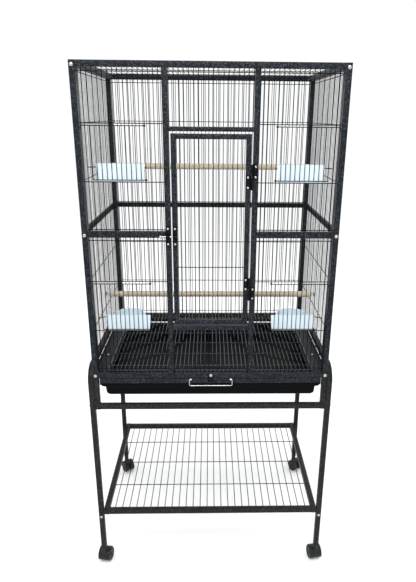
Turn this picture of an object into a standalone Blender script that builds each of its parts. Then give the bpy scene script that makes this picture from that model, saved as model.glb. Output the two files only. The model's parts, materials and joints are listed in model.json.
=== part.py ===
"""Bird cage on a rolling stand, as separate sub-parts.

Units are metres, +Z is up, the front of the cage faces -Y.
The origin is on the floor, under the middle of the cage.
"""
import math

import bmesh
import bpy
from mathutils import Matrix, Vector

# ---- driving dimensions -------------------------------------------------
CAGE_WIDTH = 0.813
CAGE_DEPTH = 0.610
CAGE_HEIGHT = 1.0055
CAGE_FLOOR_Z = 0.811
TUBE = 0.018
GAP = 0.0003
WELD_SINK = 0.001
RAIL_SET_IN = 0.0004

# wire mesh
PITCH = 0.01465
WIRE = 0.0022
CROSS_WIRE = 0.0030
MESH_FROM_FACE = 0.009

# front frame
MID_RAIL_HEIGHT = 0.020
MID_RAIL_UP = 0.503
MID_RAIL_DEPTH = 0.006
STILE_WIDTH = 0.0167
DOORWAY_WIDTH = 0.254
DOORWAY_UP = 0.194
DOORWAY_HEIGHT = 0.620
SILL_HEIGHT = 0.016
HEADER_HEIGHT = 0.0135

# door
DOOR_SIDE_GAP = 0.0055
DOOR_END_GAP = 0.006
DOOR_BAR = 0.016
DOOR_CROSS_UP = 0.195

# feeder openings and their small doors
FEEDER_WIRES = 11
FEEDER_LOW_UP = (0.6645, 0.174)
FEEDER_TOP_UP = (0.835, 0.346)
FEEDER_DOOR_STEP = 0.0004
FEEDER_HOOK_GAP = 0.0015
FEEDER_DOOR_END_GAP = 0.0065
LOOP_BORE = 0.0021
LOOP_WALL = 0.0016
LOOP_HEIGHT = 0.005

# cups
CUP_PLATE_WIDTH = 0.148
CUP_PLATE_TAPER = 0.004
CUP_HEIGHT = 0.0565
CUP_BOWL_WIDTH = 0.104
CUP_BOWL_DEPTH = 0.090
CUP_WALL = 0.002
CUP_RIM = 0.003
CUP_SET_IN = 0.010175
CUP_BOWL_TAPER = 0.008
CUP_RIM_BELOW = 0.0075
CUP_LIP = 0.0025
CUP_EDGE = 0.0015
CUP_ROUNDNESS = 0.7
CUP_ARC_STEPS = 10
CUP_BELOW_OPENING = 0.0015
CUP_FROM_MESH = 0.0030
HANGER_WIRE = 0.003

# hardware on the door
LEAF_THICKNESS = 0.0015
LEAF_WIDTH = 0.0145
LEAF_HEIGHT = 0.044
KNUCKLE_RADIUS = 0.0032
PIN_RADIUS = 0.0014
KNUCKLE_STANDOFF = 0.0008
LEAF_FROM_PIN = 0.0045
LEAF_END = 0.003
HINGE_UP = (0.682, 0.3245)
HINGE_KNUCKLE_LENGTH = 0.076
PIN_HEAD = 0.002
LATCH_UP = 0.498
LATCH_HEIGHT = 0.067
LATCH_BOLT_RADIUS = 0.0026
LATCH_BLOCK_DEPTH = 0.009
LATCH_BLOCK_HEIGHT = 0.014
LATCH_BLOCK_IN = 0.001
LATCH_KEEPER_IN = 0.0005
LATCH_KNOB_RADIUS = 0.0048
LATCH_KNOB_LENGTH = 0.009
LATCH_KNOB_OUT = 0.0195
LATCH_BOLT_SHORT = 0.0008

# perches
PERCH_RADIUS = 0.011
PERCHES = {"upper": (0.090, 0.679), "lower": (-0.015, 0.212)}

# floor grate and its ledges
LEDGE_WIDTH = 0.038
LEDGE_SHEET = 0.002
GRATE_SET_IN = 0.0305
GRATE_BORDER = 0.004
GRATE_CROSS_PITCH = 0.100

# roof
ROOF_BORDER = 0.014
ROOF_CROSSES = (-0.20, 0.0, 0.20)

# stand
STAND_TUBE = 0.019
ARCH_TOP_Z = 0.848
ARCH_BEND_RADIUS = 0.060
ARCH_STEPS = 6
LEG_ABOVE_WHEEL = 0.0225
BRIDGE_LOW_Z = 0.688
BRIDGE_HEIGHT = 0.020
REAR_BAR_LOW_Z = 0.790
REAR_BAR_HEIGHT = 0.017
SHELF_LOW_Z = 0.233
SHELF_HEIGHT = 0.020
SHELF_PITCH = 0.027
SHELF_WIRE = 0.0032
SHELF_CROSSES = (-0.15, 0.0, 0.15)

# tray
TRAY_TOP_Z = 0.790
TRAY_RIM_HEIGHT = 0.012
TRAY_DEEP = 0.053
TRAY_SIDE_GAP = 0.0065
TRAY_FRONT_GAP = 0.002
TRAY_BACK_GAP = 0.006
TRAY_CORNER = 0.012
TRAY_SHOULDER = 0.011
TRAY_SHOULDER_IN = 0.004
TRAY_BASE_EASE = 0.008
TRAY_STEP = 0.008
TRAY_SLOPE = 0.014
TRAY_WALL = 0.0025
RUNNER_SHEET = 0.002
FRONT_BAR_HEIGHT = 0.019
FRONT_BAR_SIDE_GAP = 0.004
FRONT_BAR_DEPTH = 0.0108
HANDLE_WIDTH = 0.152
HANDLE_DROP = 0.025
HANDLE_WIRE = 0.0016
HANDLE_SQUARE = 0.00256
HANDLE_PIVOT_Z = 0.807
LUG = 0.006
LOCK_WIDTH = 0.018
LOCK_SHEET = 0.0015
LOCK_PIVOT_Z = 0.823
LOCK_LENGTH = 0.026
LOCK_NOTCH_GAP = 0.0015
LOCK_NOTCH_DEPTH = 0.008
LOCK_TAPER = 0.72
LOCK_BORE = 0.0024
SCREW_RADIUS = 0.0020
SCREW_HEAD_RADIUS = 0.0055
SCREW_HEAD_HEIGHT = 0.0026

# casters
CASTER_WHEEL_RADIUS = 0.025
CASTER_WHEEL_WIDTH = 0.018
CASTER_WEB = 0.008
CASTER_OFFSET = 0.014
CASTER_HOOD_WALL = 0.0022
CASTER_WHEEL_GAP = 0.0015
CASTER_AXLE_RADIUS = 0.004
CASTER_STEM_RADIUS = 0.0095
CASTER_AXLE_CLEARANCE = 0.0003
CASTER_SPINDLE_IN_WHEEL = 0.002
CASTER_HOOD_START = 60.0
CASTER_HOOD_END = 195.0
CASTER_HOOD_STEPS = 9
CASTER_WEB_HALF = 0.010
CASTER_WEB_BELOW = 0.012
CASTER_NECK_FROM = 0.7
CASTER_SKIN = 0.0004
CASTER_TURN = {"front_left": -10.0, "front_right": 10.0, "rear_left": 213.0, "rear_right": 213.0}

# ---- derived places -----------------------------------------------------
HALF_W = CAGE_WIDTH / 2
HALF_D = CAGE_DEPTH / 2
FRONT_Y = -HALF_D
CAGE_TOP_Z = CAGE_FLOOR_Z + CAGE_HEIGHT
POST_IN_X = HALF_W - TUBE
POST_IN_Y = HALF_D - TUBE
RAIL_LOW_Z = CAGE_FLOOR_Z + TUBE
RAIL_TOP_Z = CAGE_TOP_Z - TUBE
FRONT_MESH_Y = FRONT_Y + MESH_FROM_FACE
STILE_OUT_X = DOORWAY_WIDTH / 2 + STILE_WIDTH
MID_LOW_Z = CAGE_FLOOR_Z + MID_RAIL_UP - MID_RAIL_HEIGHT / 2
MID_TOP_Z = MID_LOW_Z + MID_RAIL_HEIGHT
DOORWAY_LOW_Z = CAGE_FLOOR_Z + DOORWAY_UP
DOORWAY_TOP_Z = DOORWAY_LOW_Z + DOORWAY_HEIGHT
BAY_FIRST_WIRE = math.ceil((STILE_OUT_X + WIRE) / PITCH - 0.5)
BAY_LAST_WIRE = int((POST_IN_X - WIRE) / PITCH - 0.5)
FEEDER_LAST_WIRE = BAY_LAST_WIRE - 1
FEEDER_FIRST_WIRE = FEEDER_LAST_WIRE - FEEDER_WIRES + 1
FEEDER_LOW_Z = [CAGE_FLOOR_Z + up for up in FEEDER_LOW_UP]
FEEDER_TOP_Z = [CAGE_FLOOR_Z + up for up in FEEDER_TOP_UP]
CUP_X = ((FEEDER_FIRST_WIRE + FEEDER_LAST_WIRE) / 2 + 0.5) * PITCH - CUP_SET_IN
SIDE_PANEL_Y = HALF_D - TUBE - GAP
DOOR_HALF_W = DOORWAY_WIDTH / 2 - DOOR_SIDE_GAP
DOOR_LOW_Z = DOORWAY_LOW_Z + DOOR_END_GAP
DOOR_TOP_Z = DOORWAY_TOP_Z - DOOR_END_GAP
LEAF_Y = FRONT_Y - GAP - LEAF_THICKNESS / 2
HINGE_X = DOORWAY_WIDTH / 2 - DOOR_SIDE_GAP / 2
HINGE_Y = FRONT_Y - GAP - KNUCKLE_RADIUS - KNUCKLE_STANDOFF
LATCH_Z = CAGE_FLOOR_Z + LATCH_UP
LATCH_BOLT_Y = FRONT_Y - GAP - LATCH_BLOCK_DEPTH / 2 - LEAF_THICKNESS / 2
LEG_X = HALF_W + GAP + STAND_TUBE / 2
LEG_Y = HALF_D - STAND_TUBE / 2
BRIDGE_TOP_Z = BRIDGE_LOW_Z + BRIDGE_HEIGHT
FRONT_BAR_LOW_Z = TRAY_TOP_Z + GAP + 0.001
TRAY_HALF_WIDTH = POST_IN_X - TRAY_SIDE_GAP
CASTER_AXLE_Z = CASTER_WHEEL_RADIUS
LEG_END_Z = 2 * CASTER_WHEEL_RADIUS + LEG_ABOVE_WHEEL

MATERIALS = {
    "frame_steel": ((0.022, 0.028, 0.034), 0.42, 0.55),
    "stand_steel": ((0.030, 0.030, 0.030), 0.45, 0.55),
    "wire_steel": ((0.014, 0.015, 0.016), 0.40, 0.50),
    "hinge_black": ((0.010, 0.010, 0.011), 0.45, 0.40),
    "zinc": ((0.62, 0.63, 0.65), 0.30, 1.0),
    "wood": ((0.66, 0.50, 0.35), 0.60, 0.0),
    "cup_plastic": ((0.78, 0.84, 0.90), 0.40, 0.0),
    "tray_plastic": ((0.012, 0.013, 0.015), 0.50, 0.0),
    "caster_plastic": ((0.010, 0.010, 0.011), 0.38, 0.0),
}


# ---- helpers ------------------------------------------------------------
def clear_scene():
    for thing in list(bpy.data.objects):
        bpy.data.objects.remove(thing, do_unlink=True)


def material(slot):
    """Return the slot's Principled material, made on first use."""
    found = bpy.data.materials.get(slot)
    if found:
        return found
    color, roughness, metallic = MATERIALS[slot]
    made = bpy.data.materials.new(slot)
    made.use_nodes = True
    shader = made.node_tree.nodes["Principled BSDF"]
    shader.inputs["Base Color"].default_value = (*color, 1.0)
    shader.inputs["Roughness"].default_value = roughness
    shader.inputs["Metallic"].default_value = metallic
    return made


def finish(name, bm, slot, origin=(0.0, 0.0, 0.0)):
    """Turn a bmesh in world coordinates into an object whose origin is at the given point."""
    bmesh.ops.recalc_face_normals(bm, faces=bm.faces)
    bmesh.ops.translate(bm, verts=bm.verts, vec=-Vector(origin))
    mesh = bpy.data.meshes.new(name)
    bm.to_mesh(mesh)
    bm.free()
    mesh.materials.append(material(slot))
    thing = bpy.data.objects.new(name, mesh)
    thing.location = origin
    bpy.context.scene.collection.objects.link(thing)
    return thing


def combine(target, helper_bm, operation):
    """Join or cut target with the closed bodies in helper_bm."""
    helper = finish(target.name + "_" + operation.lower(), helper_bm, "zinc")
    helper.hide_render = True
    helper.display_type = "WIRE"
    step = target.modifiers.new(operation.title(), "BOOLEAN")
    step.operation = operation
    step.solver = "EXACT"
    step.object = helper
    return target


def box(bm, low, high):
    """Add a closed box between two corners."""
    size = [abs(b - a) for a, b in zip(low, high)]
    middle = [(a + b) / 2 for a, b in zip(low, high)]
    place = Matrix.Translation(middle) @ Matrix.Diagonal((*size, 1.0))
    bmesh.ops.create_cube(bm, size=1.0, matrix=place)


def bar(bm, start, end, width):
    """Add a square bar whose middle line runs along an axis from start to end."""
    run = [abs(b - a) for a, b in zip(start, end)]
    half = [0.0 if length == max(run) else width / 2 for length in run]
    low = [min(a, b) - h for a, b, h in zip(start, end, half)]
    high = [max(a, b) + h for a, b, h in zip(start, end, half)]
    box(bm, low, high)


def rod(bm, start, end, radius, sides=12, top_radius=None):
    """Add a closed round bar or cone between two points."""
    start, end = Vector(start), Vector(end)
    way = end - start
    turn = way.to_track_quat("Z", "Y").to_matrix().to_4x4()
    place = Matrix.Translation((start + end) / 2) @ turn
    bmesh.ops.create_cone(bm, cap_ends=True, segments=sides, radius1=radius,
                          radius2=radius if top_radius is None else top_radius,
                          depth=way.length, matrix=place)


def loft(bm, rings):
    """Skin a list of equal-length point rings and cap both ends."""
    rows = [[bm.verts.new(p) for p in ring] for ring in rings]
    count = len(rows[0])
    for lower, upper in zip(rows, rows[1:]):
        for i in range(count):
            j = (i + 1) % count
            bm.faces.new((lower[i], lower[j], upper[j], upper[i]))
    bm.faces.new(reversed(rows[0]))
    bm.faces.new(rows[-1])


def sweep(bm, path, width, frame_axis):
    """Run a square section along a path that lies in the plane normal to frame_axis."""
    side = Vector(frame_axis).normalized()
    rings = []
    for i, point in enumerate(path):
        here = Vector(point)
        before = (here - Vector(path[i - 1])).normalized() if i else None
        after = (Vector(path[i + 1]) - here).normalized() if i < len(path) - 1 else None
        along = ((before or after) + (after or before)).normalized()
        across = side.cross(along)
        stretch = 1.0 if before is None or after is None else 1.0 / max(0.5, along.dot(before))
        h = width / 2
        rings.append([here + side * (h * a) + across * (h * b * stretch)
                      for a, b in ((-1, -1), (1, -1), (1, 1), (-1, 1))])
    loft(bm, rings)


def wires_inside(half_room, pitch=PITCH, thickness=WIRE):
    """Places of every wire that fits between two faces half_room from the middle."""
    outward = [(n + 0.5) * pitch for n in range(int((half_room - thickness) / pitch + 0.5))]
    return sorted([-x for x in outward] + outward)


# ---- cage ---------------------------------------------------------------
def front_frame():
    uprights, rails = bmesh.new(), bmesh.new()
    depth_y = (FRONT_Y, FRONT_Y + TUBE)
    rail_y = (FRONT_Y + RAIL_SET_IN, FRONT_Y + TUBE - RAIL_SET_IN)
    for side in (-1, 1):
        box(uprights, (side * POST_IN_X, depth_y[0], CAGE_FLOOR_Z), (side * HALF_W, depth_y[1], CAGE_TOP_Z))
        inner = side * DOORWAY_WIDTH / 2
        box(uprights, (inner, depth_y[0], RAIL_LOW_Z - WELD_SINK),
            (side * STILE_OUT_X, depth_y[1], RAIL_TOP_Z + WELD_SINK))
        box(rails, (side * (STILE_OUT_X - WELD_SINK), rail_y[0], MID_LOW_Z),
            (side * (POST_IN_X + WELD_SINK), rail_y[1], MID_TOP_Z))
    span = POST_IN_X + WELD_SINK
    box(rails, (-span, rail_y[0], CAGE_FLOOR_Z + RAIL_SET_IN), (span, rail_y[1], RAIL_LOW_Z))
    box(rails, (-span, rail_y[0], RAIL_TOP_Z), (span, rail_y[1], CAGE_TOP_Z - RAIL_SET_IN))
    span = DOORWAY_WIDTH / 2 + WELD_SINK
    box(rails, (-span, rail_y[0], DOORWAY_LOW_Z - SILL_HEIGHT), (span, rail_y[1], DOORWAY_LOW_Z))
    box(rails, (-span, rail_y[0], DOORWAY_TOP_Z), (span, rail_y[1], DOORWAY_TOP_Z + HEADER_HEIGHT))
    return combine(finish("front_frame", uprights, "frame_steel"), rails, "UNION")


def front_bay_mesh(name, side, low_z, top_z, feeder):
    """Mesh beside the door, with the opening for one feeder door left free."""
    uprights, borders = bmesh.new(), bmesh.new()
    x_in, x_out = STILE_OUT_X + GAP, POST_IN_X - GAP
    half = CROSS_WIRE / 2
    levels = [low_z + GAP + half, FEEDER_LOW_Z[feeder], FEEDER_TOP_Z[feeder], top_z - GAP - half]
    for z in levels:
        bar(borders, (side * x_in, FRONT_MESH_Y, z), (side * x_out, FRONT_MESH_Y, z), CROSS_WIRE)
    for n in range(BAY_FIRST_WIRE, BAY_LAST_WIRE + 1):
        x = side * (n + 0.5) * PITCH
        in_opening = FEEDER_FIRST_WIRE <= n <= FEEDER_LAST_WIRE
        spans = [(levels[0], levels[1]), (levels[2], levels[3])] if in_opening else [(levels[0], levels[3])]
        for start, end in spans:
            bar(uprights, (x, FRONT_MESH_Y, start), (x, FRONT_MESH_Y, end), WIRE)
    return combine(finish(name, uprights, "wire_steel"), borders, "UNION")


def centre_mesh(name, low_z, top_z):
    """Mesh between the stiles, above or below the doorway."""
    uprights, borders = bmesh.new(), bmesh.new()
    half_room = DOORWAY_WIDTH / 2 - GAP
    half = CROSS_WIRE / 2
    levels = (low_z + GAP + half, top_z - GAP - half)
    for z in levels:
        bar(borders, (-half_room, FRONT_MESH_Y, z), (half_room, FRONT_MESH_Y, z), CROSS_WIRE)
    for x in wires_inside(half_room):
        bar(uprights, (x, FRONT_MESH_Y, levels[0]), (x, FRONT_MESH_Y, levels[1]), WIRE)
    return combine(finish(name, uprights, "wire_steel"), borders, "UNION")


def upright_panel(name, half_span, outer, turn):
    """A back or side panel: tube border, middle rail outside the mesh, and wire mesh.

    It is built across local X, centred on the origin, with its outer face at local y = outer
    and its inside towards the middle of the cage, then turned about the vertical axis.
    """
    uprights, rails = bmesh.new(), bmesh.new()
    inner = outer - TUBE
    mesh_y = outer - TUBE / 2
    for side in (-1, 1):
        box(uprights, (side * (half_span - TUBE), inner, CAGE_FLOOR_Z), (side * half_span, outer, CAGE_TOP_Z))
    span = half_span - TUBE + WELD_SINK
    low_y, high_y = inner + RAIL_SET_IN, outer - RAIL_SET_IN
    box(rails, (-span, low_y, CAGE_FLOOR_Z + RAIL_SET_IN), (span, high_y, RAIL_LOW_Z))
    box(rails, (-span, low_y, RAIL_TOP_Z), (span, high_y, CAGE_TOP_Z - RAIL_SET_IN))
    box(rails, (-span, high_y - MID_RAIL_DEPTH, MID_LOW_Z), (span, high_y, MID_TOP_Z))
    cross_y = mesh_y - WIRE / 2 - GAP - CROSS_WIRE / 2
    for z in (*FEEDER_LOW_Z, *FEEDER_TOP_Z):
        bar(rails, (-span, cross_y, z), (span, cross_y, z), CROSS_WIRE)
    for x in wires_inside(half_span - TUBE):
        bar(uprights, (x, mesh_y, RAIL_LOW_Z - WELD_SINK), (x, mesh_y, RAIL_TOP_Z + WELD_SINK), WIRE)
    for bm in (uprights, rails):
        bmesh.ops.rotate(bm, verts=bm.verts, cent=(0, 0, 0), matrix=Matrix.Rotation(turn, 3, "Z"))
    return combine(finish(name, uprights, "frame_steel"), rails, "UNION")


def flat_grid(name, slot, half_x, half_y, low_z, border, border_height, wire, places, crosses):
    """A level grid: border bars, wires from front to back, and cross wires under them."""
    sides, ends = bmesh.new(), bmesh.new()
    top_z = low_z + border_height
    wire_z = top_z - wire / 2 - RAIL_SET_IN
    for side in (-1, 1):
        box(sides, (side * (half_x - border), -half_y, low_z), (side * half_x, half_y, top_z))
        box(ends, (-half_x + border - WELD_SINK, side * (half_y - border), low_z + RAIL_SET_IN),
            (half_x - border + WELD_SINK, side * (half_y - RAIL_SET_IN), top_z - RAIL_SET_IN / 2))
    reach = half_y - border + WELD_SINK
    for x in places:
        bar(sides, (x, -reach, wire_z), (x, reach, wire_z), wire)
    cross_z = wire_z - wire - GAP
    for y in crosses:
        bar(ends, (-half_x + border - WELD_SINK, y, cross_z), (half_x - border + WELD_SINK, y, cross_z), wire)
    return combine(finish(name, sides, slot), ends, "UNION")


def roof_panel():
    half_x, half_y = POST_IN_X - GAP, POST_IN_Y - GAP
    return flat_grid("roof_panel", "frame_steel", half_x, half_y, CAGE_TOP_Z - ROOF_BORDER, ROOF_BORDER,
                     ROOF_BORDER, WIRE, wires_inside(half_x - ROOF_BORDER), ROOF_CROSSES)


def floor_grate():
    half_x, half_y = POST_IN_X - GRATE_SET_IN, POST_IN_Y - 2 * GAP
    return flat_grid("floor_grate", "wire_steel", half_x, half_y, RAIL_LOW_Z + GAP, GRATE_BORDER,
                     2 * WIRE + 3 * GAP + RAIL_SET_IN, WIRE, wires_inside(half_x - GRATE_BORDER),
                     wires_inside(half_y - GRATE_BORDER, GRATE_CROSS_PITCH))


def grate_ledge(name, side):
    """Sheet angle on the side panel's bottom rail; the grate lies on its flat edge."""
    outer = POST_IN_X - GAP
    profile = [(outer, CAGE_FLOOR_Z + RAIL_SET_IN), (outer, RAIL_LOW_Z), (outer - LEDGE_WIDTH, RAIL_LOW_Z),
               (outer - LEDGE_WIDTH, RAIL_LOW_Z - LEDGE_SHEET), (outer - LEDGE_SHEET, RAIL_LOW_Z - LEDGE_SHEET),
               (outer - LEDGE_SHEET, CAGE_FLOOR_Z + RAIL_SET_IN)]
    bm = bmesh.new()
    reach = POST_IN_Y - GAP
    loft(bm, [[(side * x, y, z) for x, z in profile] for y in (-reach, reach)])
    return finish(name, bm, "frame_steel")


def perch(name, y, z):
    bm = bmesh.new()
    reach = POST_IN_X - GAP
    rod(bm, (-reach, y, z), (reach, y, z), PERCH_RADIUS, sides=16)
    return finish(name, bm, "wood")


# ---- door and its hardware ---------------------------------------------
def door_panel():
    uprights, rails = bmesh.new(), bmesh.new()
    back_y = FRONT_Y + DOOR_BAR
    for side in (-1, 1):
        box(uprights, (side * (DOOR_HALF_W - DOOR_BAR), FRONT_Y, DOOR_LOW_Z),
            (side * DOOR_HALF_W, back_y, DOOR_TOP_Z))
    span = DOOR_HALF_W - DOOR_BAR + WELD_SINK
    y = (FRONT_Y + RAIL_SET_IN, back_y - RAIL_SET_IN)
    box(rails, (-span, y[0], DOOR_LOW_Z + RAIL_SET_IN), (span, y[1], DOOR_LOW_Z + DOOR_BAR))
    box(rails, (-span, y[0], DOOR_TOP_Z - DOOR_BAR), (span, y[1], DOOR_TOP_Z - RAIL_SET_IN))
    cross_y = FRONT_MESH_Y + WIRE / 2 + GAP + CROSS_WIRE / 2
    cross_z = DOOR_LOW_Z + DOOR_CROSS_UP
    bar(rails, (-span, cross_y, cross_z), (span, cross_y, cross_z), CROSS_WIRE)
    for x in wires_inside(DOOR_HALF_W - DOOR_BAR):
        bar(uprights, (x, FRONT_MESH_Y, DOOR_LOW_Z + DOOR_BAR - WELD_SINK),
            (x, FRONT_MESH_Y, DOOR_TOP_Z - DOOR_BAR + WELD_SINK), WIRE)
    thing = finish("door_panel", uprights, "frame_steel", origin=(HINGE_X, HINGE_Y, 0.0))
    return combine(thing, rails, "UNION")


def hinge_leaf(name, side, knuckle, plate_z):
    """One leaf: a plate against the frame or the door and its knuckle round the pin."""
    plate, joint, bore = bmesh.new(), bmesh.new(), bmesh.new()
    low, high = knuckle
    box(joint, (HINGE_X, LEAF_Y - LEAF_THICKNESS / 2, low),
        (HINGE_X + side * (LEAF_FROM_PIN + LEAF_THICKNESS), LEAF_Y + LEAF_THICKNESS / 4, high))
    rod(plate, (HINGE_X, HINGE_Y, low), (HINGE_X, HINGE_Y, high), KNUCKLE_RADIUS, sides=10)
    box(plate, (HINGE_X + side * LEAF_FROM_PIN, LEAF_Y - LEAF_THICKNESS / 2 - GAP / 3, plate_z[0]),
        (HINGE_X + side * (LEAF_WIDTH + LEAF_END), LEAF_Y + LEAF_THICKNESS / 2, plate_z[1]))
    rod(bore, (HINGE_X, HINGE_Y, low - LEAF_HEIGHT), (HINGE_X, HINGE_Y, high + LEAF_HEIGHT),
        PIN_RADIUS + GAP, sides=10)
    thing = finish(name, plate, "hinge_black", origin=(HINGE_X, HINGE_Y, 0.0))
    combine(thing, joint, "UNION")
    return combine(thing, bore, "DIFFERENCE")


def door_hinges():
    """Two pinned hinges; the frame's leaf is the upper one above and the lower one below."""
    half = HINGE_KNUCKLE_LENGTH / 2
    for label, up, frame_side in (("upper", HINGE_UP[0], 1), ("lower", HINGE_UP[1], -1)):
        z = CAGE_FLOOR_Z + up
        knuckles = {1: (z + GAP, z + half), -1: (z - half, z - GAP)}
        plates = {1: (z + half - LEAF_HEIGHT, z + half), -1: (z - half, z - half + LEAF_HEIGHT)}
        hinge_leaf(f"{label}_hinge_frame_leaf", 1, knuckles[frame_side], plates[frame_side])
        hinge_leaf(f"{label}_hinge_door_leaf", -1, knuckles[-frame_side], plates[-frame_side])
        hinge_pin(f"{label}_hinge_pin", z - half, z + half)


def hinge_pin(name, low_z, high_z):
    """A loose pin with a small head above the top knuckle."""
    shank, head = bmesh.new(), bmesh.new()
    rod(shank, (HINGE_X, HINGE_Y, low_z), (HINGE_X, HINGE_Y, high_z + PIN_HEAD * 0.75), PIN_RADIUS, sides=10)
    rod(head, (HINGE_X, HINGE_Y, high_z + GAP), (HINGE_X, HINGE_Y, high_z + PIN_HEAD),
        KNUCKLE_RADIUS * 0.8, sides=10)
    return combine(finish(name, shank, "zinc"), head, "UNION")


def latch_block(name, low_x, high_x):
    """A face plate with a block that guides the sliding bolt."""
    plate, block, bore = bmesh.new(), bmesh.new(), bmesh.new()
    box(plate, (low_x, FRONT_Y - GAP - LEAF_THICKNESS, LATCH_Z - LATCH_HEIGHT / 2),
        (high_x, FRONT_Y - GAP, LATCH_Z + LATCH_HEIGHT / 2))
    block_y = FRONT_Y - GAP - LEAF_THICKNESS - LATCH_BLOCK_DEPTH
    box(block, (low_x + LATCH_BLOCK_IN, block_y, LATCH_Z - LATCH_BLOCK_HEIGHT / 2),
        (high_x - LATCH_BLOCK_IN, FRONT_Y - GAP - LEAF_THICKNESS / 2, LATCH_Z + LATCH_BLOCK_HEIGHT / 2))
    rod(bore, (low_x - LATCH_HEIGHT, LATCH_BOLT_Y, LATCH_Z), (high_x + LATCH_HEIGHT, LATCH_BOLT_Y, LATCH_Z),
        LATCH_BOLT_RADIUS + GAP, sides=12)
    thing = finish(name, plate, "hinge_black")
    combine(thing, block, "UNION")
    return combine(thing, bore, "DIFFERENCE")


def latch():
    latch_block("latch_guide", -STILE_OUT_X + GAP, -DOORWAY_WIDTH / 2 - GAP)
    latch_block("latch_keeper", -DOOR_HALF_W + LATCH_KEEPER_IN, -DOOR_HALF_W + DOOR_BAR)
    shank, knob = bmesh.new(), bmesh.new()
    knob_x, tip_x = -STILE_OUT_X - LATCH_KNOB_OUT, -DOOR_HALF_W - LATCH_BOLT_SHORT
    rod(shank, (knob_x + LATCH_BLOCK_IN, LATCH_BOLT_Y, LATCH_Z), (tip_x, LATCH_BOLT_Y, LATCH_Z),
        LATCH_BOLT_RADIUS, sides=12)
    rod(knob, (knob_x, LATCH_BOLT_Y, LATCH_Z), (knob_x + LATCH_KNOB_LENGTH, LATCH_BOLT_Y, LATCH_Z),
        LATCH_KNOB_RADIUS, sides=12)
    return combine(finish("latch_bolt", shank, "zinc"), knob, "UNION")


# ---- feeder doors, cups and hangers -------------------------------------
def feeder_door(name, side, feeder):
    uprights, borders, bores = bmesh.new(), bmesh.new(), bmesh.new()
    hinge_x = side * (FEEDER_FIRST_WIRE - 0.5) * PITCH
    y = FRONT_MESH_Y - WIRE / 2 - GAP - CROSS_WIRE / 2 - FEEDER_DOOR_STEP
    low_z = FEEDER_LOW_Z[feeder] + FEEDER_DOOR_END_GAP
    top_z = FEEDER_TOP_Z[feeder] - FEEDER_DOOR_END_GAP
    last_x = (FEEDER_LAST_WIRE + 0.5) * PITCH
    end_x = {low_z: side * (last_x + CROSS_WIRE / 2), top_z: side * (POST_IN_X - FEEDER_HOOK_GAP)}
    loop_radius = LOOP_BORE + LOOP_WALL
    for z in (low_z, top_z):
        bar(borders, (hinge_x, y, z), (end_x[z], y, z), CROSS_WIRE)
        rod(uprights, (hinge_x, FRONT_MESH_Y, z - LOOP_HEIGHT / 2),
            (hinge_x, FRONT_MESH_Y, z + LOOP_HEIGHT / 2), loop_radius, sides=8)
    for n in range(FEEDER_FIRST_WIRE, FEEDER_LAST_WIRE + 1):
        x = side * (n + 0.5) * PITCH
        bar(uprights, (x, y, low_z), (x, y, top_z), WIRE)
    rod(bores, (hinge_x, FRONT_MESH_Y, low_z - LOOP_HEIGHT), (hinge_x, FRONT_MESH_Y, top_z + LOOP_HEIGHT),
        LOOP_BORE, sides=8)
    thing = finish(name, uprights, "wire_steel", origin=(hinge_x, FRONT_MESH_Y, 0.0))
    combine(thing, borders, "UNION")
    return combine(thing, bores, "DIFFERENCE")


def cup_outline(half_width, depth, front_y, centre_x, z):
    """A flat front and a rounded back, as one ring of points."""
    ring = []
    for i in range(CUP_ARC_STEPS + 1):
        angle = math.pi * i / CUP_ARC_STEPS
        bulge = abs(math.sin(angle)) ** CUP_ROUNDNESS
        ring.append((centre_x + half_width * math.cos(angle), front_y + depth * bulge, z))
    return ring


def cup(name, side, feeder):
    low_z = FEEDER_LOW_Z[feeder] - CUP_BELOW_OPENING
    top_z = low_z + CUP_HEIGHT
    plate_back = FRONT_MESH_Y + WIRE / 2 + CUP_FROM_MESH + CUP_WALL
    plate_front = plate_back - CUP_WALL
    centre_x = side * CUP_X
    plate, bowl = bmesh.new(), bmesh.new()
    half = CUP_PLATE_WIDTH / 2
    rings = []
    for y in (plate_front, plate_back):
        rings.append([(centre_x - half, y, top_z), (centre_x - half + CUP_PLATE_TAPER, y, low_z),
                      (centre_x + half - CUP_PLATE_TAPER, y, low_z), (centre_x + half, y, top_z)])
    loft(plate, rings)
    rim, base = CUP_BOWL_WIDTH / 2, CUP_BOWL_WIDTH / 2 - CUP_BOWL_TAPER
    front, inner_front = plate_front + CUP_WALL / 2, plate_back + RAIL_SET_IN
    bowl_top, bowl_low = top_z - CUP_RIM_BELOW, low_z + CUP_EDGE
    lip_z = bowl_top - CUP_LIP
    deep, base_deep = CUP_BOWL_DEPTH, CUP_BOWL_DEPTH - CUP_BOWL_TAPER
    sections = [
        (rim + CUP_RIM, deep + CUP_RIM, front, bowl_top),
        (rim + CUP_RIM, deep + CUP_RIM, front, lip_z),
        (rim, deep, front, lip_z),
        (base, base_deep, front, bowl_low),
    ]
    loft_rings = [cup_outline(w, d, y, centre_x, z) for w, d, y, z in sections]
    inner = [
        (base - CUP_WALL, base_deep - CUP_WALL * 1.5, inner_front, bowl_low + CUP_WALL),
        (rim - CUP_WALL, deep - CUP_WALL * 1.5, inner_front, bowl_top),
    ]
    inner_rings = [cup_outline(w, d, y, centre_x, z) for w, d, y, z in inner]
    vessel(bowl, loft_rings, inner_rings)
    return combine(finish(name, plate, "cup_plastic"), bowl, "UNION")


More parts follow.
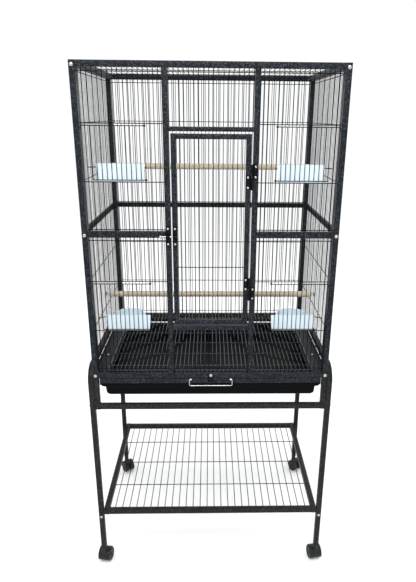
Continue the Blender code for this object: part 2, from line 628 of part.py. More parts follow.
def vessel(bm, outer_rings, inner_rings):
    """An open vessel: outer skin from rim to base, inner skin from base to rim, joined at the rim."""
    outer = [[bm.verts.new(p) for p in ring] for ring in outer_rings]
    inner = [[bm.verts.new(p) for p in ring] for ring in inner_rings]
    rows = outer + [None] + inner
    count = len(outer[0])
    for upper, lower in zip(rows, rows[1:]):
        if upper is None or lower is None:
            continue
        for i in range(count):
            j = (i + 1) % count
            bm.faces.new((upper[i], upper[j], lower[j], lower[i]))
    bm.faces.new(outer[-1])
    bm.faces.new(inner[0])
    for i in range(count):
        j = (i + 1) % count
        bm.faces.new((inner[-1][i], inner[-1][j], outer[0][j], outer[0][i]))


def cup_hanger(name, side, feeder):
    """A wire that runs from the mesh round the cup, just under its rim."""
    top_z = FEEDER_LOW_Z[feeder] - CUP_BELOW_OPENING + CUP_HEIGHT
    z = top_z - CUP_RIM_BELOW - CUP_LIP - GAP - HANGER_WIRE / 2
    front_y = FRONT_MESH_Y + WIRE / 2 + GAP + HANGER_WIRE / 2
    clear = GAP + HANGER_WIRE / 2
    plate_back = FRONT_MESH_Y + WIRE / 2 + CUP_FROM_MESH + CUP_WALL
    round_part = cup_outline(CUP_BOWL_WIDTH / 2 + clear, CUP_BOWL_DEPTH + clear,
                             plate_back + CUP_WALL, side * CUP_X, z)
    near_x, far_x = (side * (n + 0.5) * PITCH for n in (FEEDER_FIRST_WIRE - 1, FEEDER_LAST_WIRE + 1))
    right_end, left_end = max(near_x, far_x), min(near_x, far_x)
    behind = plate_back + GAP + HANGER_WIRE / 2
    path = [(right_end, front_y, z), (right_end, behind, z), *round_part[1:-1],
            (left_end, behind, z), (left_end, front_y, z)]
    bm = bmesh.new()
    sweep(bm, path, HANGER_WIRE, (0, 0, 1))
    return finish(name, bm, "wire_steel")


# ---- stand --------------------------------------------------------------
def stand_arch(name, side):
    """An upside-down U: two legs and a top run beside the cage's bottom rail."""
    bm = bmesh.new()
    x = side * LEG_X
    top = ARCH_TOP_Z - STAND_TUBE / 2
    radius = ARCH_BEND_RADIUS - STAND_TUBE / 2
    path = [(x, -LEG_Y, LEG_END_Z)]
    for i in range(ARCH_STEPS + 1):
        angle = math.pi / 2 * i / ARCH_STEPS
        path.append((x, -LEG_Y + radius * (1 - math.cos(angle)), top - radius * (1 - math.sin(angle))))
    path += [(px, -py, pz) for px, py, pz in reversed(path)]
    sweep(bm, path, STAND_TUBE, (1, 0, 0))
    return finish(name, bm, "stand_steel")


def stand_bridge(name, side, with_upper_bar):
    """A cross bar between the legs with an upright under each corner of the cage."""
    uprights, rails = bmesh.new(), bmesh.new()
    y_out = side * HALF_D
    y_in = side * (HALF_D - TUBE)
    set_in = side * RAIL_SET_IN
    for across in (-1, 1):
        box(uprights, (across * POST_IN_X, y_in, BRIDGE_LOW_Z), (across * HALF_W, y_out, CAGE_FLOOR_Z - GAP))
    span = POST_IN_X + WELD_SINK
    box(rails, (-span, y_in + set_in, BRIDGE_LOW_Z + RAIL_SET_IN), (span, y_out - set_in, BRIDGE_TOP_Z))
    if with_upper_bar:
        box(rails, (-span, y_in + set_in, REAR_BAR_LOW_Z),
            (span, y_out - set_in, REAR_BAR_LOW_Z + REAR_BAR_HEIGHT))
    return combine(finish(name, uprights, "stand_steel"), rails, "UNION")


def stand_shelf():
    half_x = LEG_X - STAND_TUBE / 2 - GAP
    places = [(n + 0.5) * SHELF_PITCH for n in range(int((half_x - SHELF_HEIGHT) / SHELF_PITCH))]
    places = sorted([-x for x in places] + places)
    return flat_grid("stand_shelf", "stand_steel", half_x, HALF_D, SHELF_LOW_Z, SHELF_HEIGHT, SHELF_HEIGHT,
                     SHELF_WIRE, places, SHELF_CROSSES)


def tray_runner(name, side):
    """Folded sheet under the side panel's bottom rail; its lower edge carries the tray's rim."""
    top = CAGE_FLOOR_Z - GAP
    web_out = POST_IN_X - GAP
    web_in = web_out - RUNNER_SHEET
    ledge_z = TRAY_TOP_Z - TRAY_RIM_HEIGHT - GAP
    ledge_in = TRAY_HALF_WIDTH - TRAY_STEP + GAP
    flange_out = HALF_W - WELD_SINK
    profile = [(web_in, top), (flange_out, top), (flange_out, top - RUNNER_SHEET),
               (web_out, top - RUNNER_SHEET), (web_out, ledge_z - RUNNER_SHEET),
               (ledge_in, ledge_z - RUNNER_SHEET), (ledge_in, ledge_z), (web_in, ledge_z)]
    bm = bmesh.new()
    reach = POST_IN_Y - GAP
    loft(bm, [[(side * x, y, z) for x, z in profile] for y in (-reach, reach)])
    return finish(name, bm, "frame_steel")


# ---- tray ---------------------------------------------------------------
def rounded_rectangle(half_x, half_y, radius, z, centre_y=0.0, steps=3):
    ring = []
    corners = ((1, 1, 0), (-1, 1, 90), (-1, -1, 180), (1, -1, 270))
    for sx, sy, start in corners:
        for i in range(steps + 1):
            angle = math.radians(start + 90 * i / steps)
            ring.append((sx * (half_x - radius) + radius * math.cos(angle),
                         centre_y + sy * (half_y - radius) + radius * math.sin(angle), z))
    return ring


def tray_pan():
    front, back = FRONT_Y + TRAY_FRONT_GAP, POST_IN_Y - TRAY_BACK_GAP
    half_y, centre_y = (back - front) / 2, (back + front) / 2
    rim_z = TRAY_TOP_Z - TRAY_RIM_HEIGHT
    base_z = TRAY_TOP_Z - TRAY_DEEP
    shoulder = (TRAY_STEP + TRAY_SHOULDER_IN, rim_z - TRAY_SHOULDER)
    foot = (TRAY_SLOPE, base_z + TRAY_BASE_EASE)
    base = (TRAY_SLOPE + TRAY_BASE_EASE, base_z)
    profile = [(0.0, TRAY_TOP_Z), (0.0, rim_z), (TRAY_STEP, rim_z), shoulder, foot, base]
    inside = [(inset + TRAY_WALL, z + TRAY_WALL) for inset, z in reversed(profile[1:])]
    inside.append((TRAY_WALL, TRAY_TOP_Z))
    outer = [rounded_rectangle(TRAY_HALF_WIDTH - inset, half_y - inset, TRAY_CORNER, z, centre_y)
             for inset, z in profile]
    inner = [rounded_rectangle(TRAY_HALF_WIDTH - inset, half_y - inset, TRAY_CORNER - WELD_SINK, z, centre_y)
             for inset, z in inside]
    bm = bmesh.new()
    vessel(bm, outer, inner)
    return finish("tray_pan", bm, "tray_plastic")


def tray_front_bar():
    """The tray's front bar, with two lugs for the handle and a notch below the lock plate."""
    bar_bm, lugs, cuts = bmesh.new(), bmesh.new(), bmesh.new()
    half_width = POST_IN_X - FRONT_BAR_SIDE_GAP
    low, top = FRONT_BAR_LOW_Z, FRONT_BAR_LOW_Z + FRONT_BAR_HEIGHT - WELD_SINK
    box(bar_bm, (-half_width, FRONT_Y, low), (half_width, FRONT_Y + FRONT_BAR_DEPTH, top))
    lug_y = FRONT_Y - LUG / 2
    for side in (-1, 1):
        x = side * (HANDLE_WIDTH / 2 - 2 * HANDLE_WIRE - GAP - LUG / 2)
        box(lugs, (x - LUG / 2, FRONT_Y - LUG, HANDLE_PIVOT_Z - LUG / 2),
            (x + LUG / 2, FRONT_Y + WELD_SINK, HANDLE_PIVOT_Z + LUG / 2))
    rod(cuts, (-HANDLE_WIDTH, lug_y, HANDLE_PIVOT_Z), (HANDLE_WIDTH, lug_y, HANDLE_PIVOT_Z),
        HANDLE_WIRE + 2 * GAP, sides=8)
    notch = LOCK_WIDTH / 2 + LOCK_NOTCH_GAP
    box(cuts, (-notch, FRONT_Y - TUBE, LOCK_PIVOT_Z - LOCK_LENGTH - LOCK_NOTCH_GAP),
        (notch, FRONT_Y + LOCK_NOTCH_DEPTH, top + TUBE))
    thing = finish("tray_front_bar", bar_bm, "frame_steel")
    combine(thing, lugs, "UNION")
    return thing, cuts


def tray_handle():
    """A wire bail that hangs from the two lugs."""
    bm = bmesh.new()
    y = FRONT_Y - LUG / 2
    half = HANDLE_WIDTH / 2 - HANDLE_WIRE
    stub = half - HANDLE_WIRE - LUG
    low = HANDLE_PIVOT_Z - HANDLE_DROP + HANDLE_WIRE
    path = [(-stub, y, HANDLE_PIVOT_Z), (-half, y, HANDLE_PIVOT_Z), (-half, y, low), (half, y, low),
            (half, y, HANDLE_PIVOT_Z), (stub, y, HANDLE_PIVOT_Z)]
    sweep(bm, path, HANDLE_SQUARE, (0, 1, 0))
    return finish("tray_handle", bm, "zinc", origin=(0.0, y, HANDLE_PIVOT_Z))


def tray_lock():
    """A small plate that swings on one screw in front of the bottom rail."""
    bm = bmesh.new()
    half, low_half = LOCK_WIDTH / 2, LOCK_WIDTH / 2 * LOCK_TAPER
    y_front = FRONT_Y - GAP - LOCK_SHEET
    outline = []
    for i in range(9):
        angle = math.pi * i / 8
        outline.append((half * math.cos(angle), LOCK_PIVOT_Z + half * 0.9 * math.sin(angle)))
    outline += [(-low_half, LOCK_PIVOT_Z - LOCK_LENGTH), (low_half, LOCK_PIVOT_Z - LOCK_LENGTH)]
    loft(bm, [[(x, y, z) for x, z in outline] for y in (y_front, y_front + LOCK_SHEET)])
    bore = bmesh.new()
    rod(bore, (0, y_front - TUBE, LOCK_PIVOT_Z), (0, FRONT_Y + TUBE, LOCK_PIVOT_Z), LOCK_BORE, sides=10)
    thing = finish("tray_lock", bm, "hinge_black", origin=(0.0, y_front, LOCK_PIVOT_Z))
    return combine(thing, bore, "DIFFERENCE")


def tray_lock_screw():
    shank, head = bmesh.new(), bmesh.new()
    y_head = FRONT_Y - GAP - LOCK_SHEET - GAP
    rod(shank, (0, FRONT_Y - GAP, LOCK_PIVOT_Z), (0, y_head - WELD_SINK, LOCK_PIVOT_Z), SCREW_RADIUS, sides=10)
    rod(head, (0, y_head, LOCK_PIVOT_Z), (0, y_head - SCREW_HEAD_HEIGHT, LOCK_PIVOT_Z), SCREW_HEAD_RADIUS,
        sides=16, top_radius=SCREW_HEAD_RADIUS * 0.6)
    return combine(finish("tray_lock_screw", shank, "zinc"), head, "UNION")


# ---- casters ------------------------------------------------------------
def caster(label, x, y, turn_degrees):
    """One twin-wheel caster: a hood that swivels under the leg and a wheel pair that spins in it."""
    turn = Matrix.Translation((x, y, 0)) @ Matrix.Rotation(math.radians(turn_degrees), 4, "Z")
    axle_y = CASTER_OFFSET
    half_web = CASTER_WEB / 2
    wheel_in = half_web + CASTER_WHEEL_GAP
    wheel_out = wheel_in + CASTER_WHEEL_WIDTH
    r_in = CASTER_WHEEL_RADIUS + CASTER_WHEEL_GAP
    r_out = r_in + CASTER_HOOD_WALL
    axle = (0.0, axle_y, CASTER_AXLE_Z)

    hood, web, cuts = bmesh.new(), bmesh.new(), bmesh.new()
    start, end = math.radians(CASTER_HOOD_START), math.radians(CASTER_HOOD_END)
    angles = [start + (end - start) * i / CASTER_HOOD_STEPS for i in range(CASTER_HOOD_STEPS + 1)]
    arc = [(axle_y + r_out * math.cos(a), CASTER_AXLE_Z + r_out * math.sin(a)) for a in angles]
    arc += [(axle_y + r_in * math.cos(a), CASTER_AXLE_Z + r_in * math.sin(a)) for a in reversed(angles)]
    loft(hood, [[(hx, hy, hz) for hy, hz in arc] for hx in (-wheel_out, wheel_out)])
    r_web = r_in + 2 * CASTER_SKIN
    web_low = CASTER_AXLE_Z - CASTER_WEB_BELOW
    web_arc = [(axle_y + r_web * math.cos(a), CASTER_AXLE_Z + r_web * math.sin(a)) for a in angles]
    web_arc += [(axle_y - CASTER_WEB_HALF, web_low), (axle_y + CASTER_WEB_HALF, web_low)]
    loft(web, [[(hx, hy, hz) for hy, hz in web_arc] for hx in (-half_web, half_web)])
    bore_radius = CASTER_AXLE_RADIUS + CASTER_AXLE_CLEARANCE
    bore = bmesh.new()
    rod(bore, (-half_web - WELD_SINK, *axle[1:]), (half_web + WELD_SINK, *axle[1:]), bore_radius, sides=12)
    neck = bmesh.new()
    rod(neck, (0, 0, CASTER_AXLE_Z + r_in * CASTER_NECK_FROM), (0, 0, LEG_END_Z - GAP), CASTER_STEM_RADIUS,
        sides=14)
    for side in (-1, 1):
        rod(cuts, (side * (half_web + CASTER_SKIN / 4), *axle[1:]), (side * (wheel_out + WELD_SINK), *axle[1:]),
            r_in - CASTER_SKIN, sides=32)
    for bm in (hood, web, cuts, bore, neck):
        bmesh.ops.transform(bm, matrix=turn, verts=bm.verts)
    thing = finish(f"{label}_caster_hood", hood, "caster_plastic", origin=(x, y, 0.0))
    combine(thing, neck, "UNION")
    combine(thing, cuts, "DIFFERENCE")
    combine(thing, web, "UNION")
    combine(thing, bore, "DIFFERENCE")

    wheels, spindle = bmesh.new(), bmesh.new()
    for side in (-1, 1):
        rod(wheels, (side * wheel_in, *axle[1:]), (side * wheel_out, *axle[1:]), CASTER_WHEEL_RADIUS, sides=24)
    half_spindle = wheel_in + CASTER_SPINDLE_IN_WHEEL
    rod(spindle, (-half_spindle, *axle[1:]), (half_spindle, *axle[1:]), CASTER_AXLE_RADIUS, sides=12)
    for bm in (wheels, spindle):
        bmesh.ops.transform(bm, matrix=turn, verts=bm.verts)
    place = turn @ Vector(axle)
    pair = finish(f"{label}_caster_wheels", wheels, "caster_plastic", origin=place)
    return combine(pair, spindle, "UNION")


# ---- assembly -----------------------------------------------------------
def build():
    clear_scene()
    front_frame()
    for label, side in (("left", -1), ("right", 1)):
        front_bay_mesh(f"{label}_upper_bay_mesh", side, MID_TOP_Z, RAIL_TOP_Z, 0)
        front_bay_mesh(f"{label}_lower_bay_mesh", side, RAIL_LOW_Z, MID_LOW_Z, 1)
        grate_ledge(f"{label}_grate_ledge", side)
        tray_runner(f"{label}_tray_runner", side)
        stand_arch(f"{label}_stand_arch", side)
        upright_panel(f"{label}_panel", SIDE_PANEL_Y, HALF_W, -side * math.pi / 2)
        for feeder, level in enumerate(("upper", "lower")):
            feeder_door(f"{level}_{label}_feeder_door", side, feeder)
            cup(f"{level}_{label}_cup", side, feeder)
            cup_hanger(f"{level}_{label}_cup_hanger", side, feeder)
    centre_mesh("above_door_mesh", DOORWAY_TOP_Z + HEADER_HEIGHT, RAIL_TOP_Z)
    centre_mesh("below_door_mesh", RAIL_LOW_Z, DOORWAY_LOW_Z - SILL_HEIGHT)
    upright_panel("back_panel", HALF_W, HALF_D, 0.0)
    roof_panel()
    floor_grate()
    for level, (y, up) in PERCHES.items():
        perch(f"{level}_perch", y, CAGE_FLOOR_Z + up)
    door_panel()
    door_hinges()
    latch()
    stand_bridge("front_bridge", -1, False)
    stand_bridge("rear_bridge", 1, True)
    stand_shelf()
    tray_pan()
    front_bar, cuts = tray_front_bar()
    combine(front_bar, cuts, "DIFFERENCE")
    tray_handle()
    tray_lock()
    tray_lock_screw()
    for fore, y in (("front", -LEG_Y), ("rear", LEG_Y)):
        for label, x in (("left", -LEG_X), ("right", LEG_X)):
            corner = f"{fore}_{label}"
            caster(corner, x, y, CASTER_TURN[corner])


build()
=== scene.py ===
"""Bird cage on a rolling stand: its finished surfaces, wire work, hardware and stage.

Metres, +Z up, the front of the cage faces -Y. Every place is taken from the frame's solids.
"""

import json
import math
import random

import bmesh
import bpy
from bpy.props import FloatProperty, FloatVectorProperty, IntProperty, PointerProperty
from bpy.types import Operator, Panel, PropertyGroup
from mathutils import Matrix, Vector


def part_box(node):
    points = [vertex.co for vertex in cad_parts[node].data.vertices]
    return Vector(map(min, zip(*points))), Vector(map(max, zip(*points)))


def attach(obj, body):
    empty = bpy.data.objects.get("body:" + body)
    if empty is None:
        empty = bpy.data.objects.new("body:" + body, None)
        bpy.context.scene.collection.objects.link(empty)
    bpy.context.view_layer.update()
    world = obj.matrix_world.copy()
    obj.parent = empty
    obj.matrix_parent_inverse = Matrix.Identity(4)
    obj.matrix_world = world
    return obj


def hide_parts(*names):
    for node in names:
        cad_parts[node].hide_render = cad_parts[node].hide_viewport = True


bl_info = {
    "name": "Bird cage on stand",
    "version": (1, 0, 0),
    "blender": (4, 5, 0),
    "location": "View3D > Sidebar > Bird Cage",
    "description": "Builds the finished surfaces of a wire bird cage on a rolling stand",
    "category": "Add Mesh",
}

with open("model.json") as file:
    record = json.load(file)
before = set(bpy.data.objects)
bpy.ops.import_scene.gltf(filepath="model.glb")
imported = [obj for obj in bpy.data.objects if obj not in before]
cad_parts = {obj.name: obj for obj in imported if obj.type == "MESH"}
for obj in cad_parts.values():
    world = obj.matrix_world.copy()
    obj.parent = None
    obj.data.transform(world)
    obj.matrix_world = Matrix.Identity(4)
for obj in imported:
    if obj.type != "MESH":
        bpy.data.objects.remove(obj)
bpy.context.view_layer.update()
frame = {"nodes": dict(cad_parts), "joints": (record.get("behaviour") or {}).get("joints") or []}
LEVELS = ("upper", "lower")
SIDES = (("left", -1), ("right", 1))
BAYS = [(level, label, side) for level in LEVELS for label, side in SIDES]
CORNERS = [f"{fore}_{label}" for fore in ("front", "rear") for label, _ in SIDES]


# ---- sizes and colours a user would change --------------------------------
def length(name, about, value):
    return FloatProperty(name=name, description=about, default=value, min=0.0, unit="LENGTH", precision=5)


def colour(name, about, value):
    return FloatVectorProperty(name=name, description=about, default=value, subtype="COLOR",
                               size=3, min=0.0, max=1.0)


class CageSizes(PropertyGroup):
    """Sizes of the finished pieces"""
    pitch: length("Wire spacing", "From one mesh wire's middle to the next", 0.01465)
    wire: length("Mesh wire", "Thickness of an upright mesh wire", 0.0023)
    side_wire: length("Side wire", "Thickness of the side panels' wires", 0.0016)
    cross_wire: length("Cross wire", "Thickness of a cross wire", 0.0028)
    wire_bow: length("Wire bow", "How far a mesh wire may stray from straight", 0.0006)
    tube_corner: length("Tube corner", "Radius of the tubes' long edges", 0.0020)
    rail_weld: length("Weld bead", "Size of the bead where two tubes meet", 0.0012)
    shelf_pitch: length("Shelf wire spacing", "From one shelf wire's middle to the next", 0.027)
    shelf_wire: length("Shelf wire", "Thickness of a shelf wire", 0.0032)
    frame_screw: length("Frame screw head", "Width of the heads that hold the panels together", 0.0115)
    small_screw: length("Small screw head", "Width of the heads on the hinges and the latch", 0.0072)
    cup_wall: length("Cup wall", "Thickness of the cups", 0.0020)
    tray_wall: length("Tray wall", "Thickness of the tray", 0.0025)
    seed: IntProperty(name="Wire seed", description="Start of the wires' small irregularities", default=7)


class CageColours(PropertyGroup):
    """Colours of the finishes"""
    frame: colour("Cage tubes", "Hammered coat on the cage's tubes", (0.0060, 0.0075, 0.0093))
    stand: colour("Stand tubes", "Hammered coat on the stand's tubes", (0.0082, 0.0082, 0.0075))
    wires: colour("Wires", "Black coat on the wires", (0.0018, 0.0020, 0.0023))
    hinge: colour("Hinges and latch", "Black coated sheet", (0.0035, 0.0035, 0.0040))
    zinc: colour("Zinc", "Bright plate on screws, bolt and bail", (0.50, 0.51, 0.52))
    wood: colour("Perches", "Pale turned wood", (0.40, 0.345, 0.26))
    cups: colour("Cups", "Bluish white moulded plastic", (0.52, 0.605, 0.655))
    tray: colour("Tray", "Black formed sheet", (0.0012, 0.0020, 0.0028))
    casters: colour("Casters", "Black nylon", (0.0060, 0.0070, 0.0085))
    floor: colour("Floor", "Plain pale floor", (0.97, 0.97, 0.97))


# ---- finishes --------------------------------------------------------------
def shader_tree(name):
    """Return a new material with its node tree, its shader and its object coordinates."""
    made = bpy.data.materials.new(f"{name}_finish")
    made.use_nodes = True
    tree = made.node_tree
    shader = tree.nodes["Principled BSDF"]
    place = tree.nodes.new("ShaderNodeTexCoord").outputs["Object"]
    return made, tree, shader, place


def noise(tree, place, scale, detail=4.0, roughness=0.55, stretch=None):
    """Add a noise texture, with its space stretched along the axes if asked."""
    source = place
    if stretch:
        mapping = tree.nodes.new("ShaderNodeMapping")
        mapping.inputs["Scale"].default_value = stretch
        tree.links.new(place, mapping.inputs["Vector"])
        source = mapping.outputs["Vector"]
    node = tree.nodes.new("ShaderNodeTexNoise")
    node.inputs["Scale"].default_value = scale
    node.inputs["Detail"].default_value = detail
    node.inputs["Roughness"].default_value = roughness
    tree.links.new(source, node.inputs["Vector"])
    return node.outputs["Fac"]


def cells(tree, place, scale, feature="F1"):
    node = tree.nodes.new("ShaderNodeTexVoronoi")
    node.feature = feature
    node.inputs["Scale"].default_value = scale
    tree.links.new(place, node.inputs["Vector"])
    return node


def ramp(tree, value, stops):
    """Map a value through (place, colour or grey) stops."""
    node = tree.nodes.new("ShaderNodeValToRGB")
    band = node.color_ramp
    while len(band.elements) < len(stops):
        band.elements.new(0.5)
    for element, (at, tint) in zip(band.elements, stops):
        grey = isinstance(tint, (int, float))
        element.position = at
        element.color = (tint, tint, tint, 1.0) if grey else (*tint, 1.0)
    tree.links.new(value, node.inputs["Fac"])
    return node.outputs["Color"]


def rise(tree, value, start, end):
    return ramp(tree, value, ((start, 0.0), (end, 1.0)))


def mixed(tree, share, first, second):
    """Blend two colours, each an output or three numbers, by a share."""
    node = tree.nodes.new("ShaderNodeMix")
    node.data_type = "RGBA"
    tree.links.new(share, node.inputs["Factor"])
    for socket, tint in ((node.inputs[6], first), (node.inputs[7], second)):
        if isinstance(tint, bpy.types.NodeSocket):
            tree.links.new(tint, socket)
        else:
            socket.default_value = (*tint, 1.0)
    return node.outputs[2]


def bumped(tree, shader, layers):
    """Chain bump layers of (height, strength, distance) into the shader's normal."""
    last = None
    for height, strength, distance in layers:
        node = tree.nodes.new("ShaderNodeBump")
        node.inputs["Strength"].default_value = strength
        node.inputs["Distance"].default_value = distance
        tree.links.new(height, node.inputs["Height"])
        if last:
            tree.links.new(last, node.inputs["Normal"])
        last = node.outputs["Normal"]
    tree.links.new(last, shader.inputs["Normal"])


def dress(tree, shader, tint, roughness):
    tree.links.new(tint, shader.inputs["Base Color"])
    tree.links.new(roughness, shader.inputs["Roughness"])


def tinted(base, amount):
    return tuple(min(1.0, c * amount) for c in base)


def hammered(name, base, cell, glint_brightness, shine):
    """Hammertone coat: small dimples, with painted glints between them: lighter flake spots in the base colour."""
    tree, shader, place = shader_tree(name)[1:]
    dimples = cells(tree, place, 1.0 / cell, "SMOOTH_F1")
    flakes = cells(tree, place, 1.7 / cell)
    patches = noise(tree, place, 9.0)
    grain = noise(tree, place, 900.0, 2.0)
    # Painted glints: the rarest cells get a base colour many times lighter, standing for highlights on the coat's
    # flakes.
    painted_glints = rise(tree, flakes.outputs["Color"], 0.62, 0.90)
    body = mixed(tree, rise(tree, patches, 0.35, 0.70), tinted(base, 0.80), tinted(base, 1.25))
    body = mixed(tree, painted_glints, body, tinted(base, glint_brightness))
    dress(tree, shader, body, ramp(tree, flakes.outputs["Distance"], ((0.0, 0.26), (0.7, 0.46))))
    shader.inputs["Metallic"].default_value = 0.05
    shader.inputs["Specular IOR Level"].default_value = shine
    shader.inputs["Coat Weight"].default_value = 0.03
    shader.inputs["Coat Roughness"].default_value = 0.16
    bumped(tree, shader, ((dimples.outputs["Distance"], 0.80, cell * 0.25), (grain, 0.10, 0.0002)))


def coated(name, base, rough, grain_scale, shine=0.06):
    """Thin black coat on wire or sheet, with a fine orange peel."""
    tree, shader, place = shader_tree(name)[1:]
    patches = noise(tree, place, 14.0)
    peel = noise(tree, place, grain_scale, 3.0)
    body = mixed(tree, rise(tree, patches, 0.3, 0.7), tinted(base, 0.75), tinted(base, 1.5))
    dress(tree, shader, body, ramp(tree, peel, ((0.3, rough - 0.08), (0.7, rough + 0.10))))
    shader.inputs["Specular IOR Level"].default_value = shine
    shader.inputs["Coat Weight"].default_value = 0.02
    shader.inputs["Coat Roughness"].default_value = 0.25
    bumped(tree, shader, ((peel, 0.25, 0.0003),))


def plated(name, base):
    """Bright zinc: fine scratches, cloudy roughness and darker dull spots."""
    tree, shader, place = shader_tree(name)[1:]
    clouds = noise(tree, place, 160.0, 5.0)
    scratches = noise(tree, place, 500.0, 2.0, 0.5, (1.0, 0.15, 1.0))
    body = mixed(tree, rise(tree, clouds, 0.35, 0.65), tinted(base, 0.70), base)
    dress(tree, shader, body, ramp(tree, clouds, ((0.3, 0.22), (0.75, 0.42))))
    shader.inputs["Metallic"].default_value = 1.0
    bumped(tree, shader, ((scratches, 0.15, 0.0002),))


def turned_wood(name, base):
    """Pale dowel: long grain along X, darker streaks and open pores."""
    tree, shader, place = shader_tree(name)[1:]
    grain = noise(tree, place, 60.0, 6.0, 0.6, (0.05, 1.0, 1.0))
    streaks = noise(tree, place, 260.0, 3.0, 0.6, (0.02, 1.0, 1.0))
    patches = noise(tree, place, 7.0)
    body = mixed(tree, rise(tree, grain, 0.35, 0.65), tinted(base, 0.78), tinted(base, 1.12))
    body = mixed(tree, ramp(tree, streaks, ((0.55, 0.0), (0.75, 0.6))), body, tinted(base, 0.55))
    body = mixed(tree, ramp(tree, patches, ((0.4, 0.0), (0.8, 0.5))), body, tinted(base, 1.15))
    dress(tree, shader, body, ramp(tree, grain, ((0.3, 0.72), (0.7, 0.52))))
    bumped(tree, shader, ((streaks, 0.30, 0.0004), (grain, 0.15, 0.0006)))


def moulded(name, base, rough, shine, grain_scale, grain_depth, glow=0.0):
    """Moulded plastic: a fine mould texture, with faint scuffs."""
    tree, shader, place = shader_tree(name)[1:]
    texture = noise(tree, place, grain_scale, 3.0)
    scuffs = noise(tree, place, 35.0, 6.0, 0.7)
    patches = noise(tree, place, 8.0)
    body = mixed(tree, rise(tree, patches, 0.3, 0.7), tinted(base, 0.92), tinted(base, 1.06))
    dress(tree, shader, body, ramp(tree, scuffs, ((0.35, rough), (0.75, rough + 0.16))))
    shader.inputs["Specular IOR Level"].default_value = shine
    shader.inputs["Subsurface Weight"].default_value = glow
    shader.inputs["Subsurface Radius"].default_value = (0.004, 0.004, 0.004)
    bumped(tree, shader, ((texture, 0.20, grain_depth),))


def make_finishes(tints):
    """Make every finish once, under the name of its material slot; the grate's lighter copy of the wire coat has a
    name of its own.
    """
    # The fourth number of a hammered coat is how many times lighter its painted glints are than the coat.
    hammered("frame_steel", tints.frame, 0.0042, 8.0, 0.08)
    hammered("stand_steel", tints.stand, 0.0040, 7.0, 0.08)
    coated("wire_steel", tints.wires, 0.40, 700.0)
    # The grate's wires: a copy of the black wire coat made 15 times lighter, painted light for the top light falling
    # on them.
    coated("grate_steel", tinted(tints.wires, 15.0), 0.34, 700.0, 0.5)
    coated("hinge_black", tints.hinge, 0.34, 1100.0)
    plated("zinc", tints.zinc)
    turned_wood("wood", tints.wood)
    moulded("cup_plastic", tints.cups, 0.30, 0.4, 1200.0, 0.0001, 0.10)
    moulded("tray_plastic", tints.tray, 0.34, 0.04, 900.0, 0.0003)
    moulded("caster_plastic", tints.casters, 0.30, 0.25, 1400.0, 0.0002)


# ---- shaping ---------------------------------------------------------------
def add_mesh(name, bm):
    """Turn a bmesh into a mesh and free it."""
    mesh = bpy.data.meshes.new(name)
    bm.to_mesh(mesh)
    bm.free()
    return mesh


def add_object(name, data):
    made = bpy.data.objects.new(name, data)
    bpy.context.scene.collection.objects.link(made)
    return made


def place_piece(name, bm, slot, body, stands_for=(), sharp=34.0):
    """Turn a bmesh into a shaded object that rides on a body."""
    bmesh.ops.recalc_face_normals(bm, faces=bm.faces)
    mesh = add_mesh(name, bm)
    mesh.materials.append(bpy.data.materials[f"{slot}_finish"])
    mesh.shade_smooth()
    mesh.set_sharp_from_angle(angle=math.radians(sharp))
    piece = add_object(name, mesh)
    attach(piece, body)
    if stands_for:
        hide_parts(*stands_for)
    return piece


def circle(sides):
    """Cosine and sine of evenly spaced turns."""
    return [(math.cos(t), math.sin(t)) for t in (2 * math.pi * k / sides for k in range(sides))]


def half_circle(steps):
    return [(math.cos(t), math.sin(t)) for t in (math.pi * k / steps for k in range(steps + 1))]


def join_rows(bm, one, other):
    for i in range(len(one)):
        j = (i + 1) % len(one)
        bm.faces.new((one[i], one[j], other[j], other[i]))


def vessel(bm, outer, inner):
    """Skin an open vessel: outer rings from the rim down, then inner rings from the floor up."""
    rows = [[bm.verts.new(p) for p in ring] for ring in outer + inner]
    last = len(outer) - 1
    for k, (one, other) in enumerate(zip(rows, rows[1:] + rows[:1])):
        if k != last:
            join_rows(bm, one, other)
    bm.faces.new(rows[last])
    bm.faces.new(rows[last + 1])


def skin(bm, rings, closed=False):
    """Skin equal rings of points; cap both ends, or join the last ring to the first."""
    rows = [[bm.verts.new(p) for p in ring] for ring in rings]
    for lower, upper in list(zip(rows, rows[1:])) + ([(rows[-1], rows[0])] if closed else []):
        join_rows(bm, lower, upper)
    if not closed:
        bm.faces.new(list(reversed(rows[0])))
        bm.faces.new(rows[-1])


def rounded(width, depth, radius, steps=3):
    """Points of a rounded rectangle, as (across, deep) pairs."""
    points = []
    for sx, sy, start in ((1, 1, 0), (-1, 1, 90), (-1, -1, 180), (1, -1, 270)):
        for i in range(steps + 1):
            turn = math.radians(start + 90 * i / steps)
            points.append((sx * (width / 2 - radius) + radius * math.cos(turn),
                           sy * (depth / 2 - radius) + radius * math.sin(turn)))
    return points


def tube(bm, start, end, width, depth, across, corner=0.002, lip=0.0007):
    """A straight tube with rounded long edges; width is measured along across."""
    start, end = Vector(start), Vector(end)
    along = (end - start).normalized()
    u = Vector(across).normalized()
    v = along.cross(u)
    rings = []
    for place, inset in ((start, lip), (start + along * lip, 0.0), (end - along * lip, 0.0), (end, lip)):
        outline = rounded(width - 2 * inset, depth - 2 * inset, max(corner - inset, 0.0002))
        rings.append([place + u * a + v * b for a, b in outline])
    skin(bm, rings)


def upright(bm, x, y, low_z, top_z, wide, deep, corner):
    tube(bm, (x, y, low_z), (x, y, top_z), wide, deep, (1, 0, 0), corner)


def rail(bm, start_x, end_x, y, z, high, deep, corner):
    tube(bm, (start_x, y, z), (end_x, y, z), high, deep, (0, 0, 1), corner)


def block(bm, low, high, corner=0.001, axis=2):
    """A box between two corners, with rounded edges along one axis."""
    low, high = Vector(map(min, low, high)), Vector(map(max, low, high))
    middle = (low + high) / 2
    start, end = middle.copy(), middle.copy()
    start[axis], end[axis] = low[axis], high[axis]
    across = Vector((0.0, 0.0, 0.0))
    wide = (axis + 1) % 3
    across[wide] = 1.0
    size = high - low
    deep = (axis + 2) % 3
    tube(bm, start, end, size[wide], size[deep], across, corner, corner * 0.6)


